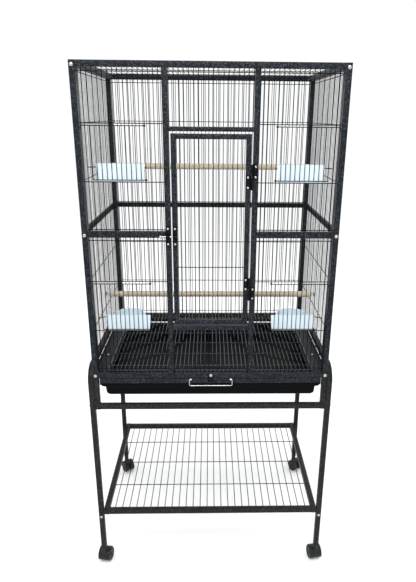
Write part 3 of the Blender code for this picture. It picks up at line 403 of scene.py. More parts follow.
def swept(bm, path, outline, side):
    """Run an outline along a path that lies in the plane normal to side."""
    side = Vector(side).normalized()
    rings = []
    for i, point in enumerate(path):
        here = Vector(point)
        before = (here - Vector(path[i - 1])).normalized() if i else None
        after = (Vector(path[i + 1]) - here).normalized() if i < len(path) - 1 else None
        along = ((before or after) + (after or before)).normalized()
        across = side.cross(along)
        stretch = 1.0 if before is None or after is None else 1.0 / max(0.5, along.dot(before))
        rings.append([here + side * a + across * (b * stretch) for a, b in outline])
    skin(bm, rings)


def wire(bm, path, radius, sides=10):
    """A round wire along a path, with eased ends."""
    points = [Vector(p) for p in path]
    steps = [(b - a).normalized() for a, b in zip(points, points[1:])]
    ways = [steps[0]] + [(a + b).normalized() for a, b in zip(steps, steps[1:])] + [steps[-1]]
    lip = radius * 0.4
    stations = [(points[0], ways[0], 0.6), (points[0] + ways[0] * lip, ways[0], 1.0)]
    stations += [(p, w, 1.0) for p, w in zip(points[1:-1], ways[1:-1])]
    stations += [(points[-1] - ways[-1] * lip, ways[-1], 1.0), (points[-1], ways[-1], 0.6)]
    normal = ways[0].orthogonal().normalized()
    last, rings = ways[0], []
    for place, way, share in stations:
        normal = last.rotation_difference(way) @ normal
        normal = (normal - way * normal.dot(way)).normalized()
        other = way.cross(normal)
        last = way
        rings.append([place + normal * (radius * share * c) + other * (radius * share * s)
                      for c, s in circle(sides)])
    skin(bm, rings)


def eased(points, reach, steps=5):
    """Round the inner corners of a line of points."""
    points = [Vector(p) for p in points]
    out = [points[0]]
    for a, b, c in zip(points, points[1:], points[2:]):
        back, ahead = a - b, c - b
        r = min(reach, back.length * 0.48, ahead.length * 0.48)
        first, second = b + back.normalized() * r, b + ahead.normalized() * r
        for i in range(steps + 1):
            t = i / steps
            out.append(first * (1 - t) ** 2 + b * (2 * t * (1 - t)) + second * t * t)
    return out + [points[-1]]


def bowed(start, end, rng, amount, parts=6):
    """A path that strays a little from the straight line between two points."""
    start, end = Vector(start), Vector(end)
    along = (end - start).normalized()
    u = along.orthogonal().normalized()
    v = along.cross(u)
    pull = [rng.uniform(-1, 1) for _ in range(4)]
    path = []
    for i in range(parts + 1):
        t = i / parts
        first, second = math.sin(math.pi * t), math.sin(2 * math.pi * t)
        path.append(start.lerp(end, t) + u * amount * (pull[0] * first + pull[1] * 0.5 * second)
                    + v * amount * (pull[2] * first + pull[3] * 0.5 * second))
    return path


def turned(bm, centre, axis, profile, sides=32, closed=False):
    """Turn (distance along the axis, radius) pairs about an axis."""
    centre, way = Vector(centre), Vector(axis).normalized()
    u = way.orthogonal().normalized()
    v = way.cross(u)
    rings = [[centre + way * h + u * (r * c) + v * (r * s) for c, s in circle(sides)] for h, r in profile]
    skin(bm, rings, closed)


def sheet(bm, outline, back, face, lip=0.0003):
    """A flat plate: an outline of points in one plane, thickened by the vector from back to face."""
    rise = Vector(face) - Vector(back)
    points = [Vector(p) for p in outline]
    middle = sum(points, Vector()) / len(points)
    rim = [p + (middle - p).normalized() * lip for p in points]
    edge = rise.normalized() * lip
    skin(bm, [rim, [p + edge for p in points], [p + rise - edge for p in points], [p + rise for p in rim]])


def plate_outline(low, high, radius, y, steps=4):
    """Rounded rectangle in the XZ plane between two (x, z) corners."""
    width, height = abs(high[0] - low[0]), high[1] - low[1]
    x, z = (low[0] + high[0]) / 2, (low[1] + high[1]) / 2
    return [(x + a, y, z + b) for a, b in rounded(width, height, radius, steps)]


def stamp(bm, mesh, matrix):
    """Add a copy of a mesh at a place."""
    before = len(bm.verts)
    bm.from_mesh(mesh)
    bm.verts.ensure_lookup_table()
    bmesh.ops.transform(bm, matrix=matrix, verts=bm.verts[before:])


def cut_mesh(name, body_bm, cutter_bm):
    """Cut one closed body with another and return the mesh that is left."""
    pair = []
    for label, bm in ((name, body_bm), (name + "_cutter", cutter_bm)):
        bmesh.ops.recalc_face_normals(bm, faces=bm.faces)
        pair.append(add_object(label, add_mesh(label, bm)))
    step = pair[0].modifiers.new("Cut", "BOOLEAN")
    step.operation = "DIFFERENCE"
    step.object = pair[1]
    bpy.context.view_layer.update()
    left = bpy.data.meshes.new_from_object(pair[0].evaluated_get(bpy.context.evaluated_depsgraph_get()))
    for thing in pair:
        mesh = thing.data
        bpy.data.objects.remove(thing)
        bpy.data.meshes.remove(mesh)
    left.name = name
    return left


def screw_mesh():
    """A pan head one unit wide with a cross recess, its face towards +Z."""
    found = bpy.data.meshes.get("cross_head")
    if found:
        return found
    head, cross = bmesh.new(), bmesh.new()
    turned(head, (0, 0, 0), (0, 0, 1), ((0.0, 0.46), (0.03, 0.50), (0.12, 0.50), (0.20, 0.455), (0.26, 0.36),
                                       (0.29, 0.22), (0.30, 0.06)), 40)
    for turn in (0.0, math.pi / 2):
        u = Vector((math.cos(turn), math.sin(turn), 0.0))
        v = Vector((-math.sin(turn), math.cos(turn), 0.0))
        rings = []
        for height, share in ((0.12, 0.45), (0.40, 1.0)):
            rings.append([Vector((0, 0, height)) + u * (a * 0.31 * share) + v * (b * 0.085)
                          for a, b in ((-1, -1), (1, -1), (1, 1), (-1, 1))])
        skin(cross, rings)
    return cut_mesh("cross_head", head, cross)


def screw(bm, place, facing, width, turn_degrees):
    """A cross-head screw at a place, with its face along facing."""
    way = Vector(facing).to_track_quat("Z", "Y").to_matrix().to_4x4()
    stamp(bm, screw_mesh(), Matrix.Translation(place) @ way
          @ Matrix.Rotation(math.radians(turn_degrees), 4, "Z") @ Matrix.Scale(width, 4))


def hex_nut(bm, place, facing, width, height, bore):
    """A chamfered hexagon nut."""
    turned(bm, place, facing, ((0.0, bore), (0.0, width * 0.5), (height * 0.8, width * 0.5),
                               (height, width * 0.44), (height, bore)), 6, closed=True)


def washer(bm, place, facing, width, thickness, bore):
    turned(bm, place, facing, ((0.0, bore), (0.0, width / 2), (thickness * 0.8, width / 2),
                               (thickness, width / 2 - thickness * 0.3), (thickness, bore)), 28, closed=True)


def weld(bm, start, end, size, rng):
    """A low, slightly uneven bead along a joint."""
    start, end = Vector(start), Vector(end)
    count = max(4, int((end - start).length / 0.0018))
    path = [start.lerp(end, i / count) for i in range(count + 1)]
    along = (end - start).normalized()
    u = along.orthogonal().normalized()
    v = along.cross(u)
    rings = []
    for i, place in enumerate(path):
        swell = size * (0.45 if i in (0, count) else rng.uniform(0.85, 1.15))
        rings.append([place + u * (swell * c) + v * (swell * s) for c, s in circle(8)])
    skin(bm, rings)


# ---- places taken from the frame -------------------------------------------
def centre(box):
    return (box[0] + box[1]) / 2


CLEAR = 0.0003
FRONT_LOW, FRONT_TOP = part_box("front_frame")
HALF_W, FRONT_Y = FRONT_TOP.x, FRONT_LOW.y
FLOOR_Z, TOP_Z = FRONT_LOW.z, FRONT_TOP.z
TUBE = FRONT_TOP.y - FRONT_LOW.y
HALF_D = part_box("back_panel")[1].y
POST_X, POST_IN_X = HALF_W - TUBE / 2, HALF_W - TUBE
POST_IN_Y = HALF_D - TUBE
RAIL_LOW_Z, RAIL_TOP_Z = FLOOR_Z + TUBE, TOP_Z - TUBE
BAY_LOW, BAY_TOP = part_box("right_upper_bay_mesh")
STILE_OUT_X = BAY_LOW.x - CLEAR
MID_TOP_Z = BAY_LOW.z - CLEAR
MID_LOW_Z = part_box("right_lower_bay_mesh")[1].z + CLEAR
MID_Z = (MID_LOW_Z + MID_TOP_Z) / 2
MESH_Y = (BAY_LOW.y + BAY_TOP.y) / 2
DOORWAY_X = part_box("above_door_mesh")[1].x + CLEAR
HEADER_TOP_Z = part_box("above_door_mesh")[0].z - CLEAR
SILL_LOW_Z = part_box("below_door_mesh")[1].z + CLEAR
DOOR_LOW, DOOR_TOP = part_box("door_panel")
SWING = {j["name"]: j for j in frame["joints"]}
HINGE_X, HINGE_Y = SWING["front_door_swing"]["pos_m"][:2]
DOOR_SILL_GAP = 0.006
FEEDER_END_GAP = 0.0065
FEEDER_LEVELS = {}
for level in LEVELS:
    low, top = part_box(f"{level}_right_feeder_door")
    FEEDER_LEVELS[level] = (low.z - FEEDER_END_GAP + 0.0025, top.z + FEEDER_END_GAP - 0.0025)
CROSS_LEVELS = sorted(z for pair in FEEDER_LEVELS.values() for z in pair)


BOWL_HALF = 0.104 / 2
RIM_DROP = 0.0075
RIM_HEIGHT = 0.0025
SUNK = 0.0004      # how far a crossing wire sinks into the one it is welded to
SLIM = 0.0004      # how much shallower a rail is than the tubes it meets
LET_IN = 0.0005    # how far a wire runs into a tube
BEAD_END = 0.002   # what a weld bead leaves free at the tube's edges
UNDER_TOP = 0.0105 # from a panel's upper rail down to its last cross wire
OVER_LOW = 0.014   # from a panel's lower rail up to its first cross wire
ARCH_BEND = 0.060
PLATE = 0.0015     # thickness of the hinge and latch plates


def wire_places(half_room, pitch, margin):
    """Places of the evenly spaced wires that fit between two faces half_room from the middle."""
    count = int((half_room - margin) / pitch - 0.5) + 1
    outward = [(n + 0.5) * pitch for n in range(count)]
    return sorted([-x for x in outward] + outward)


class CagePiece:
    """What every builder of a piece shares."""
    bl_options = {"REGISTER", "UNDO"}

    def execute(self, context):
        self.sizes, self.colours = context.scene.cage_sizes, context.scene.cage_colours
        self.rng = random.Random(self.sizes.seed + len(self.bl_idname))
        self.build()
        return {"FINISHED"}

    def strand(self, bm, start, end, bow, thick, parts=6):
        """A wire that strays a little from the straight line."""
        wire(bm, bowed(start, end, self.rng, bow, parts), thick / 2)

    def cross_strand(self, bm, room, y, z, bow, parts=6):
        """A cross wire let into the tubes on both sides."""
        self.strand(bm, (-room - LET_IN, y, z), (room + LET_IN, y, z), bow, self.sizes.cross_wire, parts)

    def bead(self, bm, x, z, low_y, top_y):
        """A weld bead from front to back where two tubes meet."""
        weld(bm, (x, low_y + BEAD_END, z), (x, top_y - BEAD_END, z), self.sizes.rail_weld, self.rng)


class CAGE_OT_finishes(CagePiece, Operator):
    """Make the hammered, coated, plated, wooden and moulded finishes"""
    bl_idname = "cage.finishes"
    bl_label = "Finishes"

    def build(self):
        make_finishes(self.colours)


class CAGE_OT_front_frame(CagePiece, Operator):
    """Weld the front's posts, stiles, rails, sill and header"""
    bl_idname = "cage.front_frame"
    bl_label = "Front frame"

    def build(self):
        corner = self.sizes.tube_corner
        bm, beads = bmesh.new(), bmesh.new()
        y = FRONT_Y + TUBE / 2
        stile_x, stile_w = (DOORWAY_X + STILE_OUT_X) / 2, STILE_OUT_X - DOORWAY_X
        for low_z, top_z in ((FLOOR_Z, RAIL_LOW_Z), (RAIL_TOP_Z, TOP_Z)):
            rail(bm, -POST_IN_X, POST_IN_X, y, (low_z + top_z) / 2, top_z - low_z, TUBE - SLIM, corner)
        for side in (-1, 1):
            upright(bm, side * POST_X, y, FLOOR_Z, TOP_Z, TUBE, TUBE, corner)
            upright(bm, side * stile_x, y, RAIL_LOW_Z, RAIL_TOP_Z, stile_w, TUBE, corner)
            rail(bm, side * STILE_OUT_X, side * POST_IN_X, y, MID_Z, MID_TOP_Z - MID_LOW_Z, TUBE - SLIM, corner)
            joints = [(POST_IN_X, z) for z in (RAIL_LOW_Z, RAIL_TOP_Z, MID_LOW_Z, MID_TOP_Z)]
            joints += [(x, z) for x in (DOORWAY_X, STILE_OUT_X) for z in (RAIL_LOW_Z, RAIL_TOP_Z)]
            joints += [(STILE_OUT_X, MID_LOW_Z), (STILE_OUT_X, MID_TOP_Z)]
            for x, z in joints:
                self.bead(beads, side * x, z, FRONT_Y, FRONT_Y + TUBE)
        doorway = ((DOOR_TOP.z + DOOR_SILL_GAP, HEADER_TOP_Z), (SILL_LOW_Z, DOOR_LOW.z - DOOR_SILL_GAP))
        for low_z, top_z in doorway:
            rail(bm, -DOORWAY_X, DOORWAY_X, y, (low_z + top_z) / 2, top_z - low_z, TUBE - SLIM, corner)
            for side in (-1, 1):
                for z in (low_z, top_z):
                    self.bead(beads, side * DOORWAY_X, z, FRONT_Y, FRONT_Y + TUBE)
        place_piece("front_frame_tubes", bm, "frame_steel", "cage", ("front_frame",))
        place_piece("front_frame_welds", beads, "frame_steel", "cage", sharp=60.0)


class CAGE_OT_panels(CagePiece, Operator):
    """Build the back and side panels: tube border, flat middle rail and welded wires"""
    bl_idname = "cage.panels"
    bl_label = "Back and side panels"

    def build(self):
        side_span = POST_IN_Y - CLEAR
        self.panel("back_panel", HALF_W, HALF_D, 0.0)
        for label, side in SIDES:
            self.panel(f"{label}_panel", side_span, HALF_W, -side * math.pi / 2)

    def panel(self, name, span, outer, turn):
        """One panel, built across X with its outer face at y = outer, then turned about Z."""
        sizes = self.sizes
        tubes, wires = bmesh.new(), bmesh.new()
        y, room = outer - TUBE / 2, span - TUBE
        for side in (-1, 1):
            upright(tubes, side * (span - TUBE / 2), y, FLOOR_Z, TOP_Z, TUBE, TUBE, sizes.tube_corner)
            for z in (RAIL_LOW_Z, RAIL_TOP_Z):
                self.bead(tubes, side * room, z, y - TUBE / 2, y + TUBE / 2)
        for z in (FLOOR_Z + TUBE / 2, TOP_Z - TUBE / 2):
            rail(tubes, -room, room, y, z, TUBE - SLIM, TUBE - SLIM, sizes.tube_corner)
        flat = 0.006
        rail(tubes, -room, room, outer - flat / 2 - SLIM, MID_Z, MID_TOP_Z - MID_LOW_Z, flat, 0.0012)
        thick = sizes.side_wire if turn else sizes.wire
        for x in wire_places(room, sizes.pitch, sizes.wire):
            self.strand(wires, (x, y, RAIL_LOW_Z - LET_IN), (x, y, RAIL_TOP_Z + LET_IN), sizes.wire_bow, thick)
        cross_y = y - (sizes.wire + sizes.cross_wire) / 2 + SUNK
        above_mid = MID_TOP_Z + (0.010 if turn else 0.004)
        for z in (RAIL_LOW_Z + OVER_LOW, *CROSS_LEVELS, above_mid, RAIL_TOP_Z - UNDER_TOP):
            self.cross_strand(wires, room, cross_y, z, 0.0004, 10)
        made = (("tubes", tubes, "frame_steel", (name,)), ("wires", wires, "wire_steel", ()))
        for label, bm, slot, stands_for in made:
            bmesh.ops.rotate(bm, verts=bm.verts, cent=(0, 0, 0), matrix=Matrix.Rotation(turn, 3, "Z"))
            place_piece(f"{name}_{label}", bm, slot, "cage", stands_for)


class CAGE_OT_roof(CagePiece, Operator):
    """Build the roof panel: a light tube border and its wires"""
    bl_idname = "cage.roof"
    bl_label = "Roof panel"

    def build(self):
        sizes = self.sizes
        low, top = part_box("roof_panel")
        border = top.z - low.z
        z = (low.z + top.z) / 2
        tubes, wires = bmesh.new(), bmesh.new()
        for side in (-1, 1):
            x, y = side * (top.x - border / 2), side * (top.y - border / 2)
            tube(tubes, (x, low.y, z), (x, top.y, z), border, border, (0, 0, 1), 0.0016)
            rail(tubes, low.x + border, top.x - border, y, z, border - SLIM, border - SLIM, 0.0016)
        wire_z = top.z - sizes.wire / 2 - 0.0006
        room_x, room_y = top.x - border, top.y - border
        for x in wire_places(room_x, sizes.pitch, sizes.wire):
            self.strand(wires, (x, -room_y - LET_IN, wire_z), (x, room_y + LET_IN, wire_z),
                        0.0004, sizes.side_wire)
        cross_z = wire_z - (sizes.wire + sizes.cross_wire) / 2 + SUNK
        for y in (-room_y + 0.012, -0.2, 0.0, 0.2, room_y - 0.012):
            self.cross_strand(wires, room_x, y, cross_z, 0.0004, 10)
        place_piece("roof_tubes", tubes, "frame_steel", "cage", ("roof_panel",))
        place_piece("roof_wires", wires, "wire_steel", "cage")


class CAGE_OT_front_wires(CagePiece, Operator):
    """Weld the wires beside, above and below the door"""
    bl_idname = "cage.front_wires"
    bl_label = "Front wires"

    def build(self):
        sizes = self.sizes
        radius, cross = sizes.wire / 2, sizes.cross_wire / 2
        cross_y = MESH_Y + radius + cross - SUNK
        for label, side in SIDES:
            for level in LEVELS:
                node = f"{label}_{level}_bay_mesh"
                low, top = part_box(node)
                gap_low, gap_top = FEEDER_LEVELS[level]
                bm = bmesh.new()
                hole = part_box(f"{level}_{label}_cup_hanger")
                inner, outer = sorted(abs(v) for v in (hole[0].x, hole[1].x))
                first = int(low.x / sizes.pitch) if side > 0 else int(-top.x / sizes.pitch)
                count = int((POST_IN_X - sizes.wire) / sizes.pitch - 0.5)
                for n in range(first + 1, count + 1):
                    x = (n + 0.5) * sizes.pitch
                    cut = inner + 0.005 < x < outer - 0.005
                    spans = ((low.z, gap_low), (gap_top, top.z)) if cut else ((low.z, top.z),)
                    for start, end in spans:
                        self.strand(bm, (side * x, MESH_Y, start), (side * x, MESH_Y, end), 0.0003, sizes.wire)
                first_z = low.z + (OVER_LOW if level == "lower" else 0.004)
                for z in (first_z, gap_low, gap_top, top.z - UNDER_TOP):
                    self.strand(bm, (low.x - CLEAR, cross_y, z), (top.x + CLEAR, cross_y, z),
                                0.0003, sizes.cross_wire)
                place_piece(f"{label}_{level}_bay_wires", bm, "wire_steel", "cage", (node,))
        for node in ("above_door_mesh", "below_door_mesh"):
            low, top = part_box(node)
            bm = bmesh.new()
            for x in wire_places(DOORWAY_X, sizes.pitch, sizes.wire):
                self.strand(bm, (x, MESH_Y, low.z - LET_IN), (x, MESH_Y, top.z + LET_IN), 0.0003, sizes.wire)
            z = low.z + OVER_LOW if node.startswith("below") else top.z - UNDER_TOP
            wire(bm, ((low.x - CLEAR, cross_y, z), (top.x + CLEAR, cross_y, z)), cross)
            place_piece(node.replace("mesh", "wires"), bm, "wire_steel", "cage", (node,))


class CAGE_OT_door(CagePiece, Operator):
    """Build the front door: its tube frame and wires"""
    bl_idname = "cage.door"
    bl_label = "Front door"

    def build(self):
        sizes = self.sizes
        bar = DOOR_TOP.y - DOOR_LOW.y
        y = (DOOR_LOW.y + DOOR_TOP.y) / 2
        tubes, wires = bmesh.new(), bmesh.new()
        room = DOOR_TOP.x - bar
        for side in (-1, 1):
            upright(tubes, side * (DOOR_TOP.x - bar / 2), y, DOOR_LOW.z, DOOR_TOP.z, bar, bar,
                    sizes.tube_corner)
            for z in (DOOR_LOW.z + bar, DOOR_TOP.z - bar):
                self.bead(tubes, side * room, z, DOOR_LOW.y, DOOR_TOP.y)
        for z in (DOOR_LOW.z + bar / 2, DOOR_TOP.z - bar / 2):
            rail(tubes, -room, room, y, z, bar - SLIM, bar - SLIM, sizes.tube_corner)
        for x in wire_places(room, sizes.pitch, sizes.wire):
            self.strand(wires, (x, MESH_Y, DOOR_LOW.z + bar - LET_IN), (x, MESH_Y, DOOR_TOP.z - bar + LET_IN),
                        0.0004, sizes.wire)
        cross_y = MESH_Y + (sizes.wire + sizes.cross_wire) / 2 - SUNK
        self.cross_strand(wires, room, cross_y, DOOR_LOW.z + 0.195, 0.0003)
        place_piece("door_tubes", tubes, "frame_steel", "front_door", ("door_panel",))
        place_piece("door_wires", wires, "wire_steel", "front_door")


class CAGE_OT_hinges(CagePiece, Operator):
    """Build the two door hinges: rolled leaves, pins and screws"""
    bl_idname = "cage.hinges"
    bl_label = "Door hinges"

    def build(self):
        width = self.sizes.small_screw
        face = FRONT_Y - CLEAR
        knuckle, pin = 0.0032, 0.0014
        for level in LEVELS:
            screws = {"cage": bmesh.new(), "front_door": bmesh.new()}
            for part, body, side in (("frame", "cage", 1), ("door", "front_door", -1)):
                node = f"{level}_hinge_{part}_leaf"
                low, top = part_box(node)
                up = 1 if (level == "upper") == (part == "frame") else -1
                outer = top.x if side > 0 else low.x
                bm = bmesh.new()
                inner = HINGE_X + side * (knuckle + 0.0008)
                plate = plate_outline((min(inner, outer), low.z), (max(inner, outer), top.z), 0.003, face)
                sheet(bm, plate, (0, 0, 0), (0, -PLATE, 0))
                middle = centre(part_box(f"{level}_hinge_pin")).z
                roll_low, roll_top = (middle + CLEAR, top.z) if up > 0 else (low.z, middle - CLEAR)
                turned(bm, (HINGE_X, HINGE_Y, roll_low), (0, 0, 1),
                       ((0.0, pin + CLEAR), (0.0, knuckle - 0.0003), (0.0003, knuckle),
                        (roll_top - roll_low - 0.0003, knuckle), (roll_top - roll_low, knuckle - 0.0003),
                        (roll_top - roll_low, pin + CLEAR)), 28, closed=True)
                block(bm, (HINGE_X, face - PLATE, roll_low + 0.0003),
                      (HINGE_X + side * 0.0065, face - 0.0002, roll_top - 0.0003), 0.0003)
                place_piece(node + "_plate", bm, "hinge_black", body, (node,))
                x = (HINGE_X + side * knuckle + outer) / 2 + side * 0.001
                reach = (top.z - low.z) / 2 - 0.0065
                centre_z = (low.z + top.z) / 2
                for k, z in enumerate((centre_z - reach, centre_z + reach)):
                    screw(screws[body], (x, face - PLATE, z), (0, -1, 0), width, 20 + 35 * k + 50 * side)
            for body, bm in screws.items():
                place_piece(f"{level}_hinge_screws_{body}", bm, "zinc", body)
            node = f"{level}_hinge_pin"
            low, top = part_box(node)
            bm = bmesh.new()
            span = top.z - low.z
            turned(bm, (HINGE_X, HINGE_Y, low.z), (0, 0, 1),
                   ((0.0, pin * 0.5), (0.0004, pin), (span - 0.0019, pin), (span - 0.0018, knuckle * 0.75),
                    (span - 0.0008, knuckle * 0.78), (span - 0.0002, knuckle * 0.5), (span, 0.0004)), 24)
            place_piece(node + "_turned", bm, "zinc", "cage", (node,))


class CAGE_OT_latch(CagePiece, Operator):
    """Build the door's slide latch: guide, keeper, bolt and screws"""
    bl_idname = "cage.latch"
    bl_label = "Door latch"

    def build(self):
        face = FRONT_Y - CLEAR
        bolt_low, bolt_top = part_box("latch_bolt")
        _, y, z = centre((bolt_low, bolt_top))
        radius = 0.0026
        for node, body in (("latch_guide", "cage"), ("latch_keeper", "front_door")):
            low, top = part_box(node)
            plate, screws = bmesh.new(), bmesh.new()
            sheet(plate, plate_outline((low.x, low.z), (top.x, top.z), 0.0035, face), (0, 0, 0), (0, -PLATE, 0))
            self.housing(plate, low.x + 0.001, top.x - 0.001, y, z, radius, face - PLATE)
            middle = (low.x + top.x) / 2
            for k, rise in enumerate((-0.0245, 0.0245)):
                screw(screws, (middle, face - PLATE, z + rise), (0, -1, 0), self.sizes.small_screw, 15 + 40 * k)
            place_piece(node + "_plate", plate, "hinge_black", body, (node,))
            place_piece(node + "_screws", screws, "zinc", body)
        bm = bmesh.new()
        knob = (bolt_top.z - bolt_low.z) / 2
        turned(bm, (bolt_low.x, y, z), (1, 0, 0),
               ((0.0, knob * 0.45), (0.0008, knob * 0.8), (0.0022, knob * 0.97), (0.0045, knob), (0.0068, knob * 0.9),
                (0.0080, knob * 0.62), (0.0090, radius), (bolt_top.x - bolt_low.x - 0.0012, radius),
                (bolt_top.x - bolt_low.x, radius * 0.6)), 32)
        place_piece("latch_bolt_turned", bm, "zinc", "latch_slide_bolt", ("latch_bolt",))

    def housing(self, bm, low_x, top_x, y, z, radius, face):
        """A strap pressed over the bolt, with feet that lie on the plate."""
        wall, outer, inner = 0.0012, radius + CLEAR + 0.0018, radius + CLEAR
        foot, base = outer + 0.0025, face + 0.0003
        outline = [(z + outer * c, y - outer * s) for c, s in half_circle(16)]
        outline += [(z - outer, face), (z - foot, face), (z - foot, base), (z - inner, base)]
        outline += [(z + inner * c, y - inner * s) for c, s in reversed(half_circle(16))]
        outline += [(z + inner, base), (z + foot, base), (z + foot, face), (z + outer, face)]
        ends = ((low_x, wall * 0.06), (low_x + wall * 0.3, 0.0), (top_x - wall * 0.3, 0.0), (top_x, wall * 0.06))
        skin(bm, [[(x, b + shrink, a) for a, b in outline] for x, shrink in ends])


class CAGE_OT_feeder_doors(CagePiece, Operator):
    """Build the four small feeder doors: wire grids with curled hinge loops and a hook"""
    bl_idname = "cage.feeder_doors"
    bl_label = "Feeder doors"

    def build(self):
        sizes = self.sizes
        radius, bar = sizes.wire / 2, 0.0014
        for level, label, side in BAYS:
            node = f"{level}_{label}_feeder_door"
            low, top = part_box(node)
            pos = SWING[f"{level}_{label}_feeder_door_swing"]["pos_m"]
            y = low.y + bar
            low_z, top_z = FEEDER_LEVELS[level][0] + FEEDER_END_GAP, FEEDER_LEVELS[level][1] - FEEDER_END_GAP
            reach = max(abs(low.x), abs(top.x))
            last = int(reach / sizes.pitch - 0.5) - 1
            first = round(abs(pos[0]) / sizes.pitch + 0.5)
            bm = bmesh.new()
            ends = {low_z: (last + 0.5) * sizes.pitch + bar, top_z: reach}
            for z, end in ends.items():
                start_x = abs(pos[0]) + 0.0012
                end_x = side * (end - 0.001)
                path = [(side * start_x, y + 0.0004, z), (side * (start_x + 0.005), y, z), (end_x, y, z)]
                if z == top_z:
                    path += [(end_x, y, z - 0.012)]
                wire(bm, eased(path, 0.003), bar, 12)
                for turn in (-1, 0, 1):
                    ring = [(turn * 0.0016 + 0.0008 * c, 0.0029 + 0.0008 * s) for c, s in circle(8)]
                    turned(bm, (pos[0], pos[1], z), (0, 0, 1), ring, 24, closed=True)
            for n in range(first, last + 1):
                x = side * (n + 0.5) * sizes.pitch
                wire(bm, bowed((x, y, low_z), (x, y, top_z), self.rng, 0.0002, 4), radius)
            place_piece(node + "_wires", bm, "wire_steel", f"{level}_{label}_feeder", (node,))


class CAGE_OT_cups(CagePiece, Operator):
    """Mould the four cups: a flat front plate and a round-backed bowl"""
    bl_idname = "cage.cups"
    bl_label = "Cups"

    def build(self):
        wall = self.sizes.cup_wall
        for level, label, _ in BAYS:
            node = f"{level}_{label}_cup"
            low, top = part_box(node)
            bm = bmesh.new()
            x, half = (low.x + top.x) / 2, (top.x - low.x) / 2
            trapeze = [(x - half, low.y, top.z), (x - half + 0.004, low.y, low.z),
                       (x + half - 0.004, low.y, low.z), (x + half, low.y, top.z)]
            outline = eased(trapeze[2:] + trapeze + trapeze[:2], 0.0025, 6)
            steps = 7
            loop = outline[1 + steps:1 + steps * 5]
            sheet(bm, loop, (0, 0, 0), (0, wall, 0), 0.0006)
            self.bowl(bm, x, low, top, wall)
            place_piece(node + "_moulded", bm, "cup_plastic", f"{level}_{label}_cup_body", (node,), 40.0)

    def bowl(self, bm, x, low, top, wall):
        """An open vessel with a flat front, a round back and a turned-out rim."""
        rim_half, depth = BOWL_HALF, top.y - low.y - wall / 2 - 0.003
        front, back = low.y + wall / 2, low.y + wall + 0.0004
        high = top.z - RIM_DROP
        lip = high - RIM_HEIGHT
        outer = [(rim_half + out, depth + out, z) for out, z in (
            (0.0024, high), (0.0030, high - 0.0006), (0.0030, lip + 0.0004), (0.0024, lip),
            (0.0004, lip - 0.0002), (0.0, lip - 0.001), (-0.0066, low.z + 0.0085), (-0.0080, low.z + 0.0045), (-0.0110, low.z + 0.0021),
            (-0.0150, low.z + 0.0015))]
        inner = [(rim_half + w, depth + d, z) for w, d, z in (
            (-0.0165, -0.0175, low.z + 0.0035), (-0.0125, -0.0135, low.z + 0.0044),
            (-0.0100, -0.0110, low.z + 0.0070), (-wall, -wall - 0.001, high - 0.003),
            (0.0008 - wall, -wall, high - 0.0004), (0.0006, 0.0006, high))]
        vessel(bm, [self.outline(w, d, front, x, z) for w, d, z in outer],
               [self.outline(w, d, back, x, z) for w, d, z in inner])

    def outline(self, half, depth, front, x, z):
        """A straight front and a squarish round back."""
        return [(x + half * c, front + depth * abs(s) ** 0.7, z) for c, s in half_circle(32)]


class CAGE_OT_hangers(CagePiece, Operator):
    """Bend the wire holders that run round the cups"""
    bl_idname = "cage.hangers"
    bl_label = "Cup hangers"

    def build(self):
        for level, label, _ in BAYS:
            node = f"{level}_{label}_cup_hanger"
            low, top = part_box(node)
            radius = (top.z - low.z) / 2
            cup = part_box(f"{level}_{label}_cup")
            z, x = (low.z + top.z) / 2, centre(cup).x
            half, start_y = BOWL_HALF + CLEAR + radius, low.y + radius
            cup_back = cup[0].y + self.sizes.cup_wall
            behind, bend_y = cup_back + CLEAR + radius, cup_back + 0.002
            depth = top.y - radius - bend_y
            round_part = [(x + half * c, bend_y + depth * s ** 0.7, z) for c, s in half_circle(24)[1:-1]]
            path = [(top.x - radius, start_y, z), (top.x - radius, behind, z), *round_part,
                    (low.x + radius, behind, z), (low.x + radius, start_y, z)]
            bm = bmesh.new()
            wire(bm, eased(path, 0.004, 3), radius * 0.95, 12)
            place_piece(node + "_wire", bm, "wire_steel", "cage", (node,))


class CAGE_OT_perches(CagePiece, Operator):
    """Turn the two perches and add the washers and nuts outside the side panels"""
    bl_idname = "cage.perches"
    bl_label = "Perches"

    def build(self):
        fixings = bmesh.new()
        for level in LEVELS:
            node = f"{level}_perch"
            low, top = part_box(node)
            radius, span = (top.z - low.z) / 2, top.x - low.x
            _, y, z = centre((low, top))
            bm = bmesh.new()
            profile = [(0.0, radius * 0.80), (0.0008, radius * 0.90), (0.0022, radius * 0.96)]
            for i in range(1, 40):
                at = i / 40
                profile.append((span * at, radius * (0.985 + 0.012 * math.sin(9.0 * at + len(level)))))
            profile += [(span - h, r) for h, r in reversed(profile[:3])]
            turned(bm, (low.x, y, z), (1, 0, 0), profile, 32)
            place_piece(node + "_turned", bm, "wood", "cage", (node,))
            outside = POST_X + self.sizes.wire / 2
            for side in (-1, 1):
                facing = (side, 0, 0)
                washer(fixings, (side * outside, y, z), facing, 0.020, 0.0012, 0.0021)
                hex_nut(fixings, (side * (outside + 0.0012), y, z), facing, 0.0085, 0.0034, 0.0018)
                turned(fixings, (side * (POST_IN_X - 0.0005), y, z), facing,
                       ((0.0, 0.0019), (outside - POST_IN_X + 0.0060, 0.0019),
                        (outside - POST_IN_X + 0.0068, 0.0013)), 16)
        place_piece("perch_fixings", fixings, "zinc", "cage")


